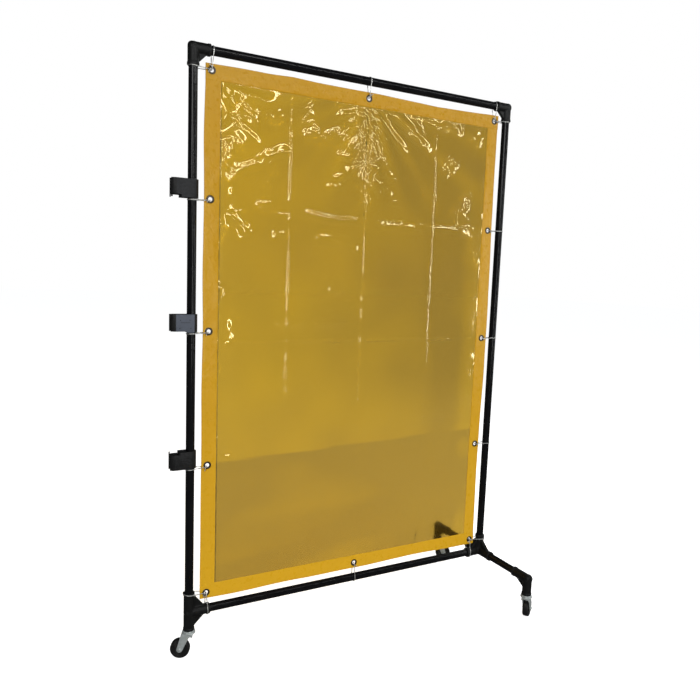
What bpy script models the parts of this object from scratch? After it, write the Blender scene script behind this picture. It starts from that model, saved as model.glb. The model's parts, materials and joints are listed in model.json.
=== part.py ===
"""Welding curtain screen: a pipe frame on three swivel castors with a laced-in film curtain.

The frame stands in the XZ plane, with its two feet reaching out along Y at the right-hand post.
The origin is on the floor, under the middle of the whole object. Units are metres, +Z is up.
"""

import math

import bmesh
import bpy
from mathutils import Matrix, Vector

# Clearance kept between neighbouring pieces.
GAP = 0.0003

# Pipe frame.
POST_SPACING = 1.230
RAIL_SPACING = 1.800
BOTTOM_RAIL_HEIGHT = 0.160
LEG_REACH = 0.290
PIPE_RADIUS = 0.014
PIPE_WALL = 0.0015
PIPE_SIDES = 16

# Moulded joints that the pipes plug into.
SLEEVE_RADIUS = 0.0174
COLLAR_RADIUS = 0.0186
COLLAR_LENGTH = 0.008
SLEEVE_BACK = 0.0160
SLEEVE_SIDES = 16
PIPE_SEAT = 0.020
WEB_THICKNESS = 0.012
CORNER_SLEEVE = 0.0520
FOOT_SLEEVE = 0.0680
LEG_SLEEVE = 0.0740
STEM_SLEEVE = 0.0620

# Castors.
WHEEL_RADIUS = 0.0325
WHEEL_HALF_WIDTH = 0.0110
TREAD_HALF_WIDTH = 0.0065
WHEEL_SIDES = 24
STEM_SIDES = 12
HUB_HALF_WIDTH = 0.0118
HUB_RADIUS = 0.0120
AXLE_RADIUS = 0.0040
CASTER_TRAIL = 0.0280
CHEEK_INSIDE = 0.0122
CHEEK_THICKNESS = 0.0025
CHEEK_END_RADIUS = 0.0095
STEM_RADIUS = 0.0060
STEM_DEPTH = 0.0380
RACE_RADIUS = 0.0205
FORK_DISC_RADIUS = 0.0220
KINGPIN_RADIUS = 0.0045
LEFT_CASTER_HEADING = math.radians(155)
FRONT_CASTER_HEADING = math.radians(33)
REAR_CASTER_HEADING = math.radians(-20)

# Curtain: a film panel with a doubled hem, and eyelets along the hem.
HEM_INSET = 0.036
HEM_WIDTH = 0.050
HEM_THICKNESS = 0.0030
FILM_THICKNESS = 0.0020
EYELET_INSET = 0.057
EYELET_BORE = 0.0068
EYELET_BARREL = 0.0083
EYELET_FLANGE_RADIUS = 0.0130
EYELET_FLANGE = 0.0012
EYELET_SIDES = 10
LEFT_EYELET_HEIGHTS = (0.497, 0.939, 1.355)
RIGHT_EYELET_HEIGHTS = (0.465, 0.900, 1.326)
TOP_MIDDLE_EYELET = 0.614
BOTTOM_MIDDLE_EYELET = 0.625

# Wire ties that lace each eyelet to the nearest pipe.
TIE_RADIUS = 0.0014
TIE_SIDES = 4
TIE_CLEARANCE = 0.0008
TIE_NOSE_RADIUS = 0.0056
CORNER_TIE_OFFSET = 0.0026
LEFT_TIE_DROP = 0.006
FOOT_TIE_RISE = 0.010

# Snap-on couplers on the left post, for the next screen in a row.
COUPLER_PITCH = 0.051
COUPLER_RADIUS = 0.0190
COUPLER_HEIGHT = 0.057
COUPLER_ABOVE_TIE = 0.0045
COUPLER_MOUTH = 0.020
NOTCH_DEPTH = 0.008
NOTCH_WIDTH = 0.026
NOTCH_LIP = 0.007
STEP_DEPTH = 0.0035
STEP_END = -0.0165

# Places worked out from the sizes above.
WHEEL_SWEEP = (CASTER_TRAIL + WHEEL_RADIUS) * math.cos(REAR_CASTER_HEADING) + TREAD_HALF_WIDTH * abs(
    math.sin(REAR_CASTER_HEADING)
)
COUPLER_SWEEP = COUPLER_PITCH + COUPLER_RADIUS
LEFT_X = (COUPLER_SWEEP - WHEEL_SWEEP - POST_SPACING) / 2
RIGHT_X = LEFT_X + POST_SPACING
BOTTOM_Z = BOTTOM_RAIL_HEIGHT
TOP_Z = BOTTOM_Z + RAIL_SPACING
STEM_MOUTH_Z = BOTTOM_Z - STEM_SLEEVE

X = Vector((1, 0, 0))
Y = Vector((0, 1, 0))
Z = Vector((0, 0, 1))


# ---------------------------------------------------------------- materials


def make_material(name, colour, roughness, metallic=0.0, alpha=1.0):
    material = bpy.data.materials.new(name)
    material.use_nodes = True
    shader = material.node_tree.nodes["Principled BSDF"]
    shader.inputs["Base Color"].default_value = (*colour, 1.0)
    shader.inputs["Roughness"].default_value = roughness
    shader.inputs["Metallic"].default_value = metallic
    shader.inputs["Alpha"].default_value = alpha
    return material


# ---------------------------------------------------------------- mesh helpers


def add_object(name, bm, material, parent=None):
    """Turns a bmesh into a named object with outward faces, smooth where it is round."""
    bmesh.ops.recalc_face_normals(bm, faces=bm.faces)
    mesh = bpy.data.meshes.new(name)
    bm.to_mesh(mesh)
    bm.free()
    mesh.shade_smooth()
    mesh.set_sharp_from_angle(angle=math.radians(35))
    mesh.materials.append(material)
    obj = bpy.data.objects.new(name, mesh)
    bpy.context.scene.collection.objects.link(obj)
    obj.parent = parent
    return obj


def add_empty(name, location, parent=None):
    """An empty on a joint's axis, for the pieces that turn about it."""
    empty = bpy.data.objects.new(name, None)
    bpy.context.scene.collection.objects.link(empty)
    empty.location = location
    empty.parent = parent
    return empty


def frame_along(axis, origin=(0, 0, 0)):
    """A matrix whose local Z runs along axis and whose local origin is at origin."""
    turn = Z.rotation_difference(Vector(axis)).to_matrix().to_4x4()
    return Matrix.Translation(Vector(origin)) @ turn


def revolve(profile, sides, place, closed=False, first=0.5):
    """Turns (radius, height) points about local Z, from the angle of first steps.

    A closed profile makes a ring with a bore.
    """
    bm = bmesh.new()
    rings = []
    for radius, height in profile:
        if radius < 1e-6:
            rings.append([bm.verts.new(place @ Vector((0, 0, height)))])
            continue
        ring = []
        for i in range(sides):
            angle = 2 * math.pi * (i + first) / sides
            point = Vector((radius * math.cos(angle), radius * math.sin(angle), height))
            ring.append(bm.verts.new(place @ point))
        rings.append(ring)
    following = rings[1:] + rings[:1] if closed else rings[1:]
    for upper, lower in zip(rings, following):
        for i in range(sides):
            j = (i + 1) % sides
            corners = [upper[i % len(upper)], upper[j % len(upper)]]
            corners += [lower[j % len(lower)], lower[i % len(lower)]]
            bm.faces.new(list(dict.fromkeys(corners)))
    return bm


def cylinder(radius, low, high, sides, place):
    """A plain cylinder along local Z, from low to high."""
    return revolve([(0, high), (radius, high), (radius, low), (0, low)], sides, place)


def prism(outline, place, depth):
    """Extrudes a local XY outline by depth, half to each side of the local XY plane."""
    bm = bmesh.new()
    layers = []
    for height in (-depth / 2, depth / 2):
        layers.append([bm.verts.new(place @ Vector((x, y, height))) for x, y in outline])
    bm.faces.new(layers[0])
    bm.faces.new(layers[1])
    for i in range(len(outline)):
        j = (i + 1) % len(outline)
        bm.faces.new([layers[0][i], layers[0][j], layers[1][j], layers[1][i]])
    return bm


def box(low, high):
    bm = bmesh.new()
    size = Vector(high) - Vector(low)
    middle = (Vector(high) + Vector(low)) / 2
    bmesh.ops.create_cube(bm, size=1.0, matrix=Matrix.Translation(middle) @ Matrix.Diagonal((*size, 1)))
    return bm


def arc(centre, radius, start, end, steps):
    """Points of a circular arc, with its angles in degrees."""
    points = []
    for i in range(steps + 1):
        angle = math.radians(start + (end - start) * i / steps)
        points.append((centre[0] + radius * math.cos(angle), centre[1] + radius * math.sin(angle)))
    return points


def combine(obj, operation, bm, label, solver="EXACT"):
    """Adds a Boolean with a hidden helper made from bm.

    The pipe joints use MANIFOLD, because EXACT leaves open edges where their sleeves cross.
    """
    helper = add_object(f"{obj.name}_{label}", bm, obj.data.materials[0], obj.parent)
    helper.hide_render = True
    helper.display_type = "WIRE"
    modifier = obj.modifiers.new(label, "BOOLEAN")
    modifier.operation = operation
    modifier.solver = solver
    modifier.object = helper


# ---------------------------------------------------------------- frame


def pipe(name, start, end, material):
    """A coated steel pipe, open at both ends."""
    start = Vector(start)
    length = (Vector(end) - start).length
    inner = PIPE_RADIUS - PIPE_WALL
    profile = [(PIPE_RADIUS, 0), (PIPE_RADIUS, length), (inner, length), (inner, 0)]
    place = frame_along((Vector(end) - start).normalized(), start)
    return add_object(name, revolve(profile, PIPE_SIDES, place, closed=True), material)


def mouth_profile(radius, length):
    """The collar at the mouth of a socket arm, from the sleeve out to the axis."""
    return [
        (radius, length - COLLAR_LENGTH - 0.001),
        (COLLAR_RADIUS, length - COLLAR_LENGTH),
        (COLLAR_RADIUS, length - 0.001),
        (COLLAR_RADIUS - 0.001, length),
        (0, length),
    ]


def sleeve_profile(radius, length, opposite_length):
    """The outside of an arm: rounded behind the centre, or run through to the opposite mouth."""
    if opposite_length:
        back = [(r, -height) for r, height in reversed(mouth_profile(radius, opposite_length))]
    else:
        back = [
            (0, -SLEEVE_BACK),
            (0.55 * radius, -SLEEVE_BACK),
            (0.87 * radius, -0.80 * SLEEVE_BACK),
            (radius, -0.45 * SLEEVE_BACK),
        ]
    return back + mouth_profile(radius, length)


def web_outline(reach_a, reach_b):
    """A gusset between two arms, with its root sunk behind their crossing."""
    edge = 0.92 * SLEEVE_RADIUS
    root = -0.3 * SLEEVE_RADIUS
    return [(root, root), (reach_a, root), (reach_a, edge), (edge, reach_b), (root, reach_b)]


def moulded_joint(name, centre, arms, webs, material):
    """A socket joint.

    arms: (direction, length, bore radius) for each socket.
    webs: (direction a, reach a, direction b, reach b) for each gusset plate between two arms.
    """
    centre = Vector(centre)
    lengths = {tuple(direction): length for direction, length, _ in arms}
    joint = None
    for index, (direction, length) in enumerate(list(lengths.items())):
        if direction not in lengths:
            continue
        opposite_length = lengths.pop(tuple(-Vector(direction)), None)
        place = frame_along(direction, centre)
        # Each arm is a little slimmer than the last, so that their facets never coincide.
        radius = SLEEVE_RADIUS - 0.0004 * index
        arm = revolve(sleeve_profile(radius, length, opposite_length), SLEEVE_SIDES, place)
        if joint is None:
            joint = add_object(name, arm, material)
        else:
            combine(joint, "UNION", arm, f"arm_{index}", "MANIFOLD")
    for index, (along_a, reach_a, along_b, reach_b) in enumerate(webs):
        turn = Matrix((along_a, along_b, along_a.cross(along_b))).transposed().to_4x4()
        place = Matrix.Translation(centre) @ turn
        # Each web is a little thicker than the last, so that no two share a face.
        web = prism(web_outline(reach_a, reach_b), place, WEB_THICKNESS + 0.0003 * index)
        combine(joint, "UNION", web, f"web_{index}", "MANIFOLD")
    for index, (direction, length, bore) in enumerate(arms):
        socket = cylinder(bore, PIPE_SEAT, length + 0.01, PIPE_SIDES, frame_along(direction, centre))
        combine(joint, "DIFFERENCE", socket, f"bore_{index}", "MANIFOLD")
    return joint


def build_frame(coating, plastic):
    stop = PIPE_SEAT + GAP
    socket = PIPE_RADIUS + GAP
    stem_socket = STEM_RADIUS + GAP
    leg_y = LEG_REACH - stop
    pipe("left_post", (LEFT_X, 0, BOTTOM_Z + stop), (LEFT_X, 0, TOP_Z - stop), coating)
    pipe("right_post", (RIGHT_X, 0, BOTTOM_Z + stop), (RIGHT_X, 0, TOP_Z - stop), coating)
    pipe("top_rail", (LEFT_X + stop, 0, TOP_Z), (RIGHT_X - stop, 0, TOP_Z), coating)
    pipe("bottom_rail", (LEFT_X + stop, 0, BOTTOM_Z), (RIGHT_X - stop, 0, BOTTOM_Z), coating)
    pipe("front_leg", (RIGHT_X, -stop, BOTTOM_Z), (RIGHT_X, -leg_y, BOTTOM_Z), coating)
    pipe("rear_leg", (RIGHT_X, stop, BOTTOM_Z), (RIGHT_X, leg_y, BOTTOM_Z), coating)

    for name, x, inward in (("left", LEFT_X, X), ("right", RIGHT_X, -X)):
        moulded_joint(
            f"top_joint_{name}",
            (x, 0, TOP_Z),
            [(-Z, CORNER_SLEEVE, socket), (inward, CORNER_SLEEVE, socket)],
            [(-Z, 0.042, inward, 0.042)],
            plastic,
        )
    moulded_joint(
        "foot_joint_left",
        (LEFT_X, 0, BOTTOM_Z),
        [(Z, FOOT_SLEEVE, socket), (-Z, STEM_SLEEVE, stem_socket), (X, FOOT_SLEEVE, socket)],
        [(Z, 0.058, X, 0.050), (-Z, 0.050, X, 0.050)],
        plastic,
    )
    moulded_joint(
        "foot_joint_right",
        (RIGHT_X, 0, BOTTOM_Z),
        [
            (Z, FOOT_SLEEVE, socket),
            (-X, FOOT_SLEEVE, socket),
            (-Y, LEG_SLEEVE, socket),
            (Y, LEG_SLEEVE, socket),
        ],
        [(Z, 0.052, -X, 0.050), (Z, 0.050, -Y, 0.058), (Z, 0.050, Y, 0.058)],
        plastic,
    )
    for name, side in (("front", -1), ("rear", 1)):
        moulded_joint(
            f"leg_elbow_{name}",
            (RIGHT_X, side * LEG_REACH, BOTTOM_Z),
            [(-side * Y, LEG_SLEEVE, socket), (-Z, STEM_SLEEVE, stem_socket)],
            [(-side * Y, 0.055, -Z, 0.040)],
            plastic,
        )


# ---------------------------------------------------------------- castors


def caster_levels():
    """Heights of the castor's stacked faces, from the joint's mouth down to the kingpin's head."""
    race_top = STEM_MOUTH_Z - GAP
    race_bottom = race_top - 0.0050
    fork_top = race_bottom - GAP
    fork_bottom = fork_top - 0.0120
    return race_top, race_bottom, fork_top, fork_bottom


def caster_stem(name, material, parent):
    """Stem, top race and kingpin, which stay still while the fork swivels round them."""
    race_top, race_bottom, _, fork_bottom = caster_levels()
    head = fork_bottom - GAP
    profile = [
        (0, STEM_MOUTH_Z + STEM_DEPTH),
        (STEM_RADIUS - 0.001, STEM_MOUTH_Z + STEM_DEPTH),
        (STEM_RADIUS, STEM_MOUTH_Z + STEM_DEPTH - 0.001),
        (STEM_RADIUS, race_top),
        (RACE_RADIUS - 0.003, race_top),
        (RACE_RADIUS, race_top - 0.0022),
        (RACE_RADIUS, race_bottom),
        (KINGPIN_RADIUS, race_bottom),
        (KINGPIN_RADIUS, head),
        (0.0085, head),
        (0.0070, head - 0.0030),
        (0, head - 0.0030),
    ]
    return add_object(name, revolve(profile, STEM_SIDES, Matrix.Identity(4)), material, parent)


def cheek_outline():
    """Side view of one fork cheek: broad at the crown, round at the axle."""
    _, _, fork_top, _ = caster_levels()
    round_end = arc((CASTER_TRAIL, WHEEL_RADIUS), CHEEK_END_RADIUS, -160, 8, 8)
    crown = [(0.0250, fork_top - 0.012), (0.0230, fork_top - 0.004)]
    crown += [(-0.0150, fork_top - 0.004), (-0.0140, fork_top - 0.013)]
    return round_end + crown


def caster_fork(name, material, parent):
    """Pressed fork: a round lower race, a crown plate and two cheeks."""
    _, _, fork_top, fork_bottom = caster_levels()
    disc = [
        (0, fork_top),
        (FORK_DISC_RADIUS - 0.001, fork_top),
        (FORK_DISC_RADIUS, fork_top - 0.001),
        (FORK_DISC_RADIUS, fork_top - 0.0060),
        (FORK_DISC_RADIUS - 0.002, fork_top - 0.0080),
        (0, fork_top - 0.0080),
    ]
    fork = add_object(name, revolve(disc, PIPE_SIDES, Matrix.Identity(4)), material, parent)
    outside = CHEEK_INSIDE + CHEEK_THICKNESS
    crown = box((-0.0130, -outside + 0.0002, fork_bottom), (0.0220, outside - 0.0002, fork_top - 0.005))
    combine(fork, "UNION", crown, "crown")
    upright = Matrix.Rotation(math.radians(90), 4, "X")
    for label, side in (("near_cheek", -1), ("far_cheek", 1)):
        middle = side * (CHEEK_INSIDE + CHEEK_THICKNESS / 2)
        place = Matrix.Translation((0, middle, 0)) @ upright
        combine(fork, "UNION", prism(cheek_outline(), place, CHEEK_THICKNESS), label)
    low, high = fork_bottom - 0.01, fork_top + 0.01
    kingpin_hole = cylinder(KINGPIN_RADIUS + GAP, low, high, STEM_SIDES, Matrix.Identity(4))
    combine(fork, "DIFFERENCE", kingpin_hole, "kingpin_hole")
    place = frame_along(Y, (CASTER_TRAIL, 0, WHEEL_RADIUS))
    axle_hole = cylinder(AXLE_RADIUS + GAP, -0.03, 0.03, STEM_SIDES, place)
    combine(fork, "DIFFERENCE", axle_hole, "axle_hole")
    return fork


def caster_axle(name, material, parent):
    """Axle bolt with a domed head at each end, outside the cheeks."""
    face = CHEEK_INSIDE + CHEEK_THICKNESS + GAP
    profile = [
        (0, -face - 0.0035),
        (0.0050, -face - 0.0035),
        (0.0068, -face - 0.0015),
        (0.0068, -face),
        (AXLE_RADIUS, -face),
        (AXLE_RADIUS, face),
        (0.0068, face),
        (0.0068, face + 0.0015),
        (0.0050, face + 0.0035),
        (0, face + 0.0035),
    ]
    return add_object(name, revolve(profile, STEM_SIDES, frame_along(Y)), material, parent)


def caster_wheel(name, material, parent):
    """Wheel with a raised hub, a dished web and a rounded tread."""
    bore = AXLE_RADIUS + GAP
    half = [
        (bore, HUB_HALF_WIDTH),
        (HUB_RADIUS, HUB_HALF_WIDTH),
        (HUB_RADIUS + 0.001, 0.0080),
        (0.0240, 0.0080),
        (0.0250, WHEEL_HALF_WIDTH),
        (0.0295, WHEEL_HALF_WIDTH),
        (WHEEL_RADIUS, TREAD_HALF_WIDTH),
    ]
    profile = half + [(radius, -height) for radius, height in reversed(half)]
    wheel = revolve(profile, WHEEL_SIDES, frame_along(Y), closed=True, first=0)
    return add_object(name, wheel, material, parent)


def build_caster(name, x, y, heading, zinc, rubber):
    """A swivel castor that trails its wheel towards heading, an angle from +X."""
    swivel = add_empty(f"{name}_swivel_axis", (x, y, 0))
    swivel.rotation_euler = (0, 0, heading)
    axle = add_empty(f"{name}_axle_axis", (CASTER_TRAIL, 0, WHEEL_RADIUS), swivel)
    caster_stem(f"{name}_stem", zinc, swivel)
    caster_fork(f"{name}_fork", zinc, swivel)
    caster_axle(f"{name}_axle", zinc, axle)
    caster_wheel(f"{name}_wheel", rubber, axle)


# ---------------------------------------------------------------- curtain


def eyelet_places():
    """Name and (x, z) of every eyelet, worked round the hem."""
    left = LEFT_X + EYELET_INSET
    right = RIGHT_X - EYELET_INSET
    bottom = BOTTOM_Z + EYELET_INSET
    top = TOP_Z - EYELET_INSET
    places = {
        "top_left": (left, top),
        "top_middle": (LEFT_X + TOP_MIDDLE_EYELET, top),
        "top_right": (right, top),
        "bottom_left": (left, bottom),
        "bottom_middle": (LEFT_X + BOTTOM_MIDDLE_EYELET, bottom),
        "bottom_right": (right, bottom),
    }
    levels = ("lower", "middle", "upper")
    for level, height in zip(levels, LEFT_EYELET_HEIGHTS):
        places[f"left_{level}"] = (left, BOTTOM_Z + height)
    for level, height in zip(levels, RIGHT_EYELET_HEIGHTS):
        places[f"right_{level}"] = (right, BOTTOM_Z + height)
    return places


def hem_strip(name, low, high, eyelets, material):
    """A doubled strip of the hem, with a hole for each eyelet that falls on it."""
    half = HEM_THICKNESS / 2
    strip = add_object(name, box((low[0], -half, low[1]), (high[0], half, high[1])), material)
    hole = EYELET_BARREL + GAP
    for label, (x, z) in eyelets.items():
        if low[0] < x < high[0] and low[1] < z < high[1]:
            cutter = cylinder(hole, -0.01, 0.01, EYELET_SIDES, frame_along(Y, (x, 0, z)))
            combine(strip, "DIFFERENCE", cutter, label)
    return strip


def build_curtain(film, hem, brass):
    left, right = LEFT_X + HEM_INSET, RIGHT_X - HEM_INSET
    bottom, top = BOTTOM_Z + HEM_INSET, TOP_Z - HEM_INSET
    inner_bottom, inner_top = bottom + HEM_WIDTH, top - HEM_WIDTH
    eyelets = eyelet_places()
    hem_strip("hem_top", (left, inner_top), (right, top), eyelets, hem)
    hem_strip("hem_bottom", (left, bottom), (right, inner_bottom), eyelets, hem)
    side_low, side_high = inner_bottom + GAP, inner_top - GAP
    hem_strip("hem_left", (left, side_low), (left + HEM_WIDTH, side_high), eyelets, hem)
    hem_strip("hem_right", (right - HEM_WIDTH, side_low), (right, side_high), eyelets, hem)
    half = FILM_THICKNESS / 2
    low = (left + HEM_WIDTH + GAP, -half, side_low)
    high = (right - HEM_WIDTH - GAP, half, side_high)
    add_object("curtain_film", box(low, high), film)

    seat = HEM_THICKNESS / 2 + GAP
    face = seat + EYELET_FLANGE
    profile = [
        (EYELET_BORE, face),
        (EYELET_FLANGE_RADIUS, face),
        (EYELET_FLANGE_RADIUS, seat),
        (EYELET_BARREL, seat),
        (EYELET_BARREL, -seat),
        (EYELET_FLANGE_RADIUS, -seat),
        (EYELET_FLANGE_RADIUS, -face),
        (EYELET_BORE, -face),
    ]
    for label, (x, z) in eyelets.items():
        ring = revolve(profile, EYELET_SIDES, frame_along(Y, (x, 0, z)), closed=True)
        add_object(f"eyelet_{label}", ring, brass)
    return eyelets


# ---------------------------------------------------------------- ties


def belt_points(reach, big, small):
    """A belt round a big circle at the origin and a small one whose far side touches reach."""
    distance = reach - small
    lean = math.degrees(math.asin((big - small) / distance))
    nose = arc((distance, 0), small, -90 + lean, 90 - lean, 4)
    return nose + arc((0, 0), big, 90 - lean, 270 + lean, 9)


def wire_tie(name, pipe_point, eyelet_point, wrap_radius, material):
    """A closed wire loop round a pipe and through an eyelet, both given as (x, z)."""
    start = Vector((pipe_point[0], 0, pipe_point[1]))
    reach = Vector((eyelet_point[0], 0, eyelet_point[1])) - start
    along = reach.normalized()
    normal = along.cross(Y)
    path = belt_points(reach.length, wrap_radius + TIE_RADIUS + TIE_CLEARANCE, TIE_NOSE_RADIUS)
    points = [start + u * along + v * Y for u, v in path]
    bm = bmesh.new()
    rings = []
    for i, point in enumerate(points):
        tangent = (points[(i + 1) % len(points)] - points[i - 1]).normalized()
        outward = tangent.cross(normal)
        ring = []
        for k in range(TIE_SIDES):
            angle = 2 * math.pi * k / TIE_SIDES
            offset = math.cos(angle) * outward + math.sin(angle) * normal
            ring.append(bm.verts.new(point + TIE_RADIUS * offset))
        rings.append(ring)
    for i, ring in enumerate(rings):
        following = rings[(i + 1) % len(rings)]
        for k in range(TIE_SIDES):
            m = (k + 1) % TIE_SIDES
            bm.faces.new([ring[k], ring[m], following[m], following[k]])
    return add_object(name, bm, material)


def build_ties(eyelets, wire):
    """One tie for each middle eyelet, and two for each corner: to its post and to its rail."""
    for label, (x, z) in eyelets.items():
        row, _, column = label.partition("_")
        if row in ("left", "right"):
            post_x = LEFT_X if row == "left" else RIGHT_X
            drop = LEFT_TIE_DROP if row == "left" else 0
            wire_tie(f"tie_{label}", (post_x, z - drop), (x, z), PIPE_RADIUS, wire)
            continue
        rail_z = TOP_Z if row == "top" else BOTTOM_Z
        if column == "middle":
            wire_tie(f"tie_{label}", (x, rail_z), (x, z), PIPE_RADIUS, wire)
            continue
        post_x = LEFT_X if column == "left" else RIGHT_X
        wrap = PIPE_RADIUS if row == "top" else COLLAR_RADIUS
        inward = math.copysign(CORNER_TIE_OFFSET, x - post_x)
        outward = math.copysign(CORNER_TIE_OFFSET, rail_z - z)
        shifted_z = z + outward
        rise = FOOT_TIE_RISE if label == "bottom_left" else 0
        wire_tie(f"tie_{label}_post", (post_x, shifted_z + rise), (x, shifted_z), wrap, wire)
        shifted_x = x + inward
        wire_tie(f"tie_{label}_rail", (shifted_x, rail_z), (shifted_x, z), wrap, wire)


# ---------------------------------------------------------------- couplers


def build_coupler(name, low_z, end, relief, plastic):
    """A coupler: a closed ring on this post and an open clip for the next screen's post.

    Its relief is a cut of (low x, high x, depth) in the end, which is 1 for the top and -1 for the
    bottom.
    """
    hinge = add_empty(f"{name}_axis", (LEFT_X, 0, low_z + COUPLER_HEIGHT / 2))
    outline = arc((0, 0), COUPLER_RADIUS, -90, 90, 10)
    outline += arc((-COUPLER_PITCH, 0), COUPLER_RADIUS, 90, 270, 10)
    body = prism(outline, Matrix.Identity(4), COUPLER_HEIGHT)
    coupler = add_object(name, body, plastic, hinge)
    past_end = COUPLER_HEIGHT / 2 + 0.01
    for label, x in (("post_hole", 0), ("clip_hole", -COUPLER_PITCH)):
        place = Matrix.Translation((x, 0, 0))
        hole = cylinder(PIPE_RADIUS + GAP, -past_end, past_end, PIPE_SIDES, place)
        combine(coupler, "DIFFERENCE", hole, label)
    half_mouth = COUPLER_MOUTH / 2
    low = (-COUPLER_PITCH - 0.03, -half_mouth, -past_end)
    high = (-COUPLER_PITCH, half_mouth, past_end)
    combine(coupler, "DIFFERENCE", box(low, high), "mouth")
    low_x, high_x, depth = relief
    end_z = end * COUPLER_HEIGHT / 2
    cutter = box((low_x, -0.03, end_z - depth), (high_x, 0.03, end_z + depth))
    combine(coupler, "DIFFERENCE", cutter, "relief")


def build_couplers(plastic):
    """The outer couplers have a notch behind a lip, and the middle one a shallow step."""
    clip_end = -COUPLER_PITCH - COUPLER_RADIUS
    notch = (clip_end + NOTCH_LIP, clip_end + NOTCH_LIP + NOTCH_WIDTH, NOTCH_DEPTH)
    step = (clip_end - 0.01, STEP_END, STEP_DEPTH)
    reliefs = ((1, notch), (-1, step), (-1, notch))
    for level, height, (end, relief) in zip(("lower", "middle", "upper"), LEFT_EYELET_HEIGHTS, reliefs):
        low_z = BOTTOM_Z + height - LEFT_TIE_DROP + COUPLER_ABOVE_TIE
        build_coupler(f"coupler_{level}", low_z, end, relief, plastic)


# ---------------------------------------------------------------- whole object


def main():
    for obj in list(bpy.data.objects):
        bpy.data.objects.remove(obj, do_unlink=True)
    coating = make_material("black_coated_pipe", (0.012, 0.012, 0.013), 0.38)
    plastic = make_material("black_moulded_plastic", (0.018, 0.018, 0.018), 0.55)
    zinc = make_material("zinc_plated_steel", (0.56, 0.57, 0.56), 0.38, metallic=1.0)
    rubber = make_material("black_wheel", (0.015, 0.015, 0.015), 0.6)
    film = make_material("amber_film", (0.55, 0.40, 0.03), 0.25, alpha=0.6)
    hem = make_material("amber_hem", (0.66, 0.38, 0.03), 0.4)
    brass = make_material("dark_eyelet", (0.10, 0.09, 0.07), 0.35, metallic=1.0)
    wire = make_material("steel_wire", (0.60, 0.60, 0.58), 0.35, metallic=1.0)
    build_frame(coating, plastic)
    build_caster("caster_left", LEFT_X, 0, LEFT_CASTER_HEADING, zinc, rubber)
    build_caster("caster_front", RIGHT_X, -LEG_REACH, FRONT_CASTER_HEADING, zinc, rubber)
    build_caster("caster_rear", RIGHT_X, LEG_REACH, REAR_CASTER_HEADING, zinc, rubber)
    eyelets = build_curtain(film, hem, brass)
    build_ties(eyelets, wire)
    build_couplers(plastic)


main()
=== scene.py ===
"""Looks of the welding curtain screen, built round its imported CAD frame.

Pipes, joints, castors and couplers are finer copies of their CAD solids. The curtain is a creased
film sheet with a doubled hem, rolled eyelets and wire ties. Units are metres, +Z is up, and the
frame of the screen stands in the XZ plane.
"""

import json
import logging
import math
from dataclasses import dataclass
from enum import Enum
from typing import Sequence

import bmesh
import bpy
import numpy as np
from mathutils import Matrix, Vector, noise

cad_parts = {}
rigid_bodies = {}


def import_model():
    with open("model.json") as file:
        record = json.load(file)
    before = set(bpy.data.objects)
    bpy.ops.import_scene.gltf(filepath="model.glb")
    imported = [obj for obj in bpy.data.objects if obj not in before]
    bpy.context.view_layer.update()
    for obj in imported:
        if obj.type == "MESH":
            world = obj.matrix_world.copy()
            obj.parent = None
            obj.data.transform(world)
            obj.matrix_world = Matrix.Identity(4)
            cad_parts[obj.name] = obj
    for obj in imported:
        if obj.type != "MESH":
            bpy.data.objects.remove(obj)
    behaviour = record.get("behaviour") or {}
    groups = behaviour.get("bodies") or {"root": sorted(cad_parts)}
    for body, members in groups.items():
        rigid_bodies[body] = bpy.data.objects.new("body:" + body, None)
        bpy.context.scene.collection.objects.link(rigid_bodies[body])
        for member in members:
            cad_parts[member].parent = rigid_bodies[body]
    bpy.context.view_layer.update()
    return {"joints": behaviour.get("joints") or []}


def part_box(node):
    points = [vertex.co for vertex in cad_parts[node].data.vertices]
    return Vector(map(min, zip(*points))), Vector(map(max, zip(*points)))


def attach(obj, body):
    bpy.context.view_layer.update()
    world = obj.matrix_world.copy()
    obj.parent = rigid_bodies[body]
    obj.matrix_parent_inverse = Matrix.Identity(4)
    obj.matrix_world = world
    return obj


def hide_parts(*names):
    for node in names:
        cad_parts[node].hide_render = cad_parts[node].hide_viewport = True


LOG = logging.getLogger("welding_curtain_screen")

X = Vector((1, 0, 0))
Y = Vector((0, 1, 0))
Z = Vector((0, 0, 1))

Colour = tuple[float, float, float]
Point2 = tuple[float, float]

FRAME_BODY = "screen_frame"
PIPE_RADIUS = 0.014
PIPE_WALL = 0.0015
PIPE_NODES = ("left_post", "right_post", "top_rail", "bottom_rail", "front_leg", "rear_leg")
CRUMPLE = "crumple"
PAINTED_SHADE_AND_SEAM = "painted_shade_and_seam"
WEAR_AND_SHEEN = "wear_and_painted_sheen"


class Level(Enum):
    """Heights on a post at which eyelets, ties and couplers sit."""

    LOWER = "lower"
    MIDDLE = "middle"
    UPPER = "upper"


# ------------------------------------------------------------------ meshes


def mesh_object(name: str, bm: bmesh.types.BMesh, sharp_degrees: float = 35) -> bpy.types.Object:
    """Turn a bmesh into a linked object with outward faces, smooth where it is round.

    Args:
        name: Name of the new object.
        bm: The mesh, which is freed.
        sharp_degrees: Edges bent by more than this stay sharp.

    Returns:
        The new object, at the origin.
    """
    bmesh.ops.recalc_face_normals(bm, faces=bm.faces)
    mesh = bpy.data.meshes.new(name)
    bm.to_mesh(mesh)
    bm.free()
    mesh.shade_smooth()
    mesh.set_sharp_from_angle(angle=math.radians(sharp_degrees))
    obj = bpy.data.objects.new(name, mesh)
    bpy.context.scene.collection.objects.link(obj)
    return obj


def frame_along(axis: Sequence[float], origin: Sequence[float] = (0, 0, 0)) -> Matrix:
    """Return a matrix whose local Z runs along axis, with its origin at origin."""
    turn = Z.rotation_difference(Vector(axis)).to_matrix().to_4x4()
    return Matrix.Translation(Vector(origin)) @ turn


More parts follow.
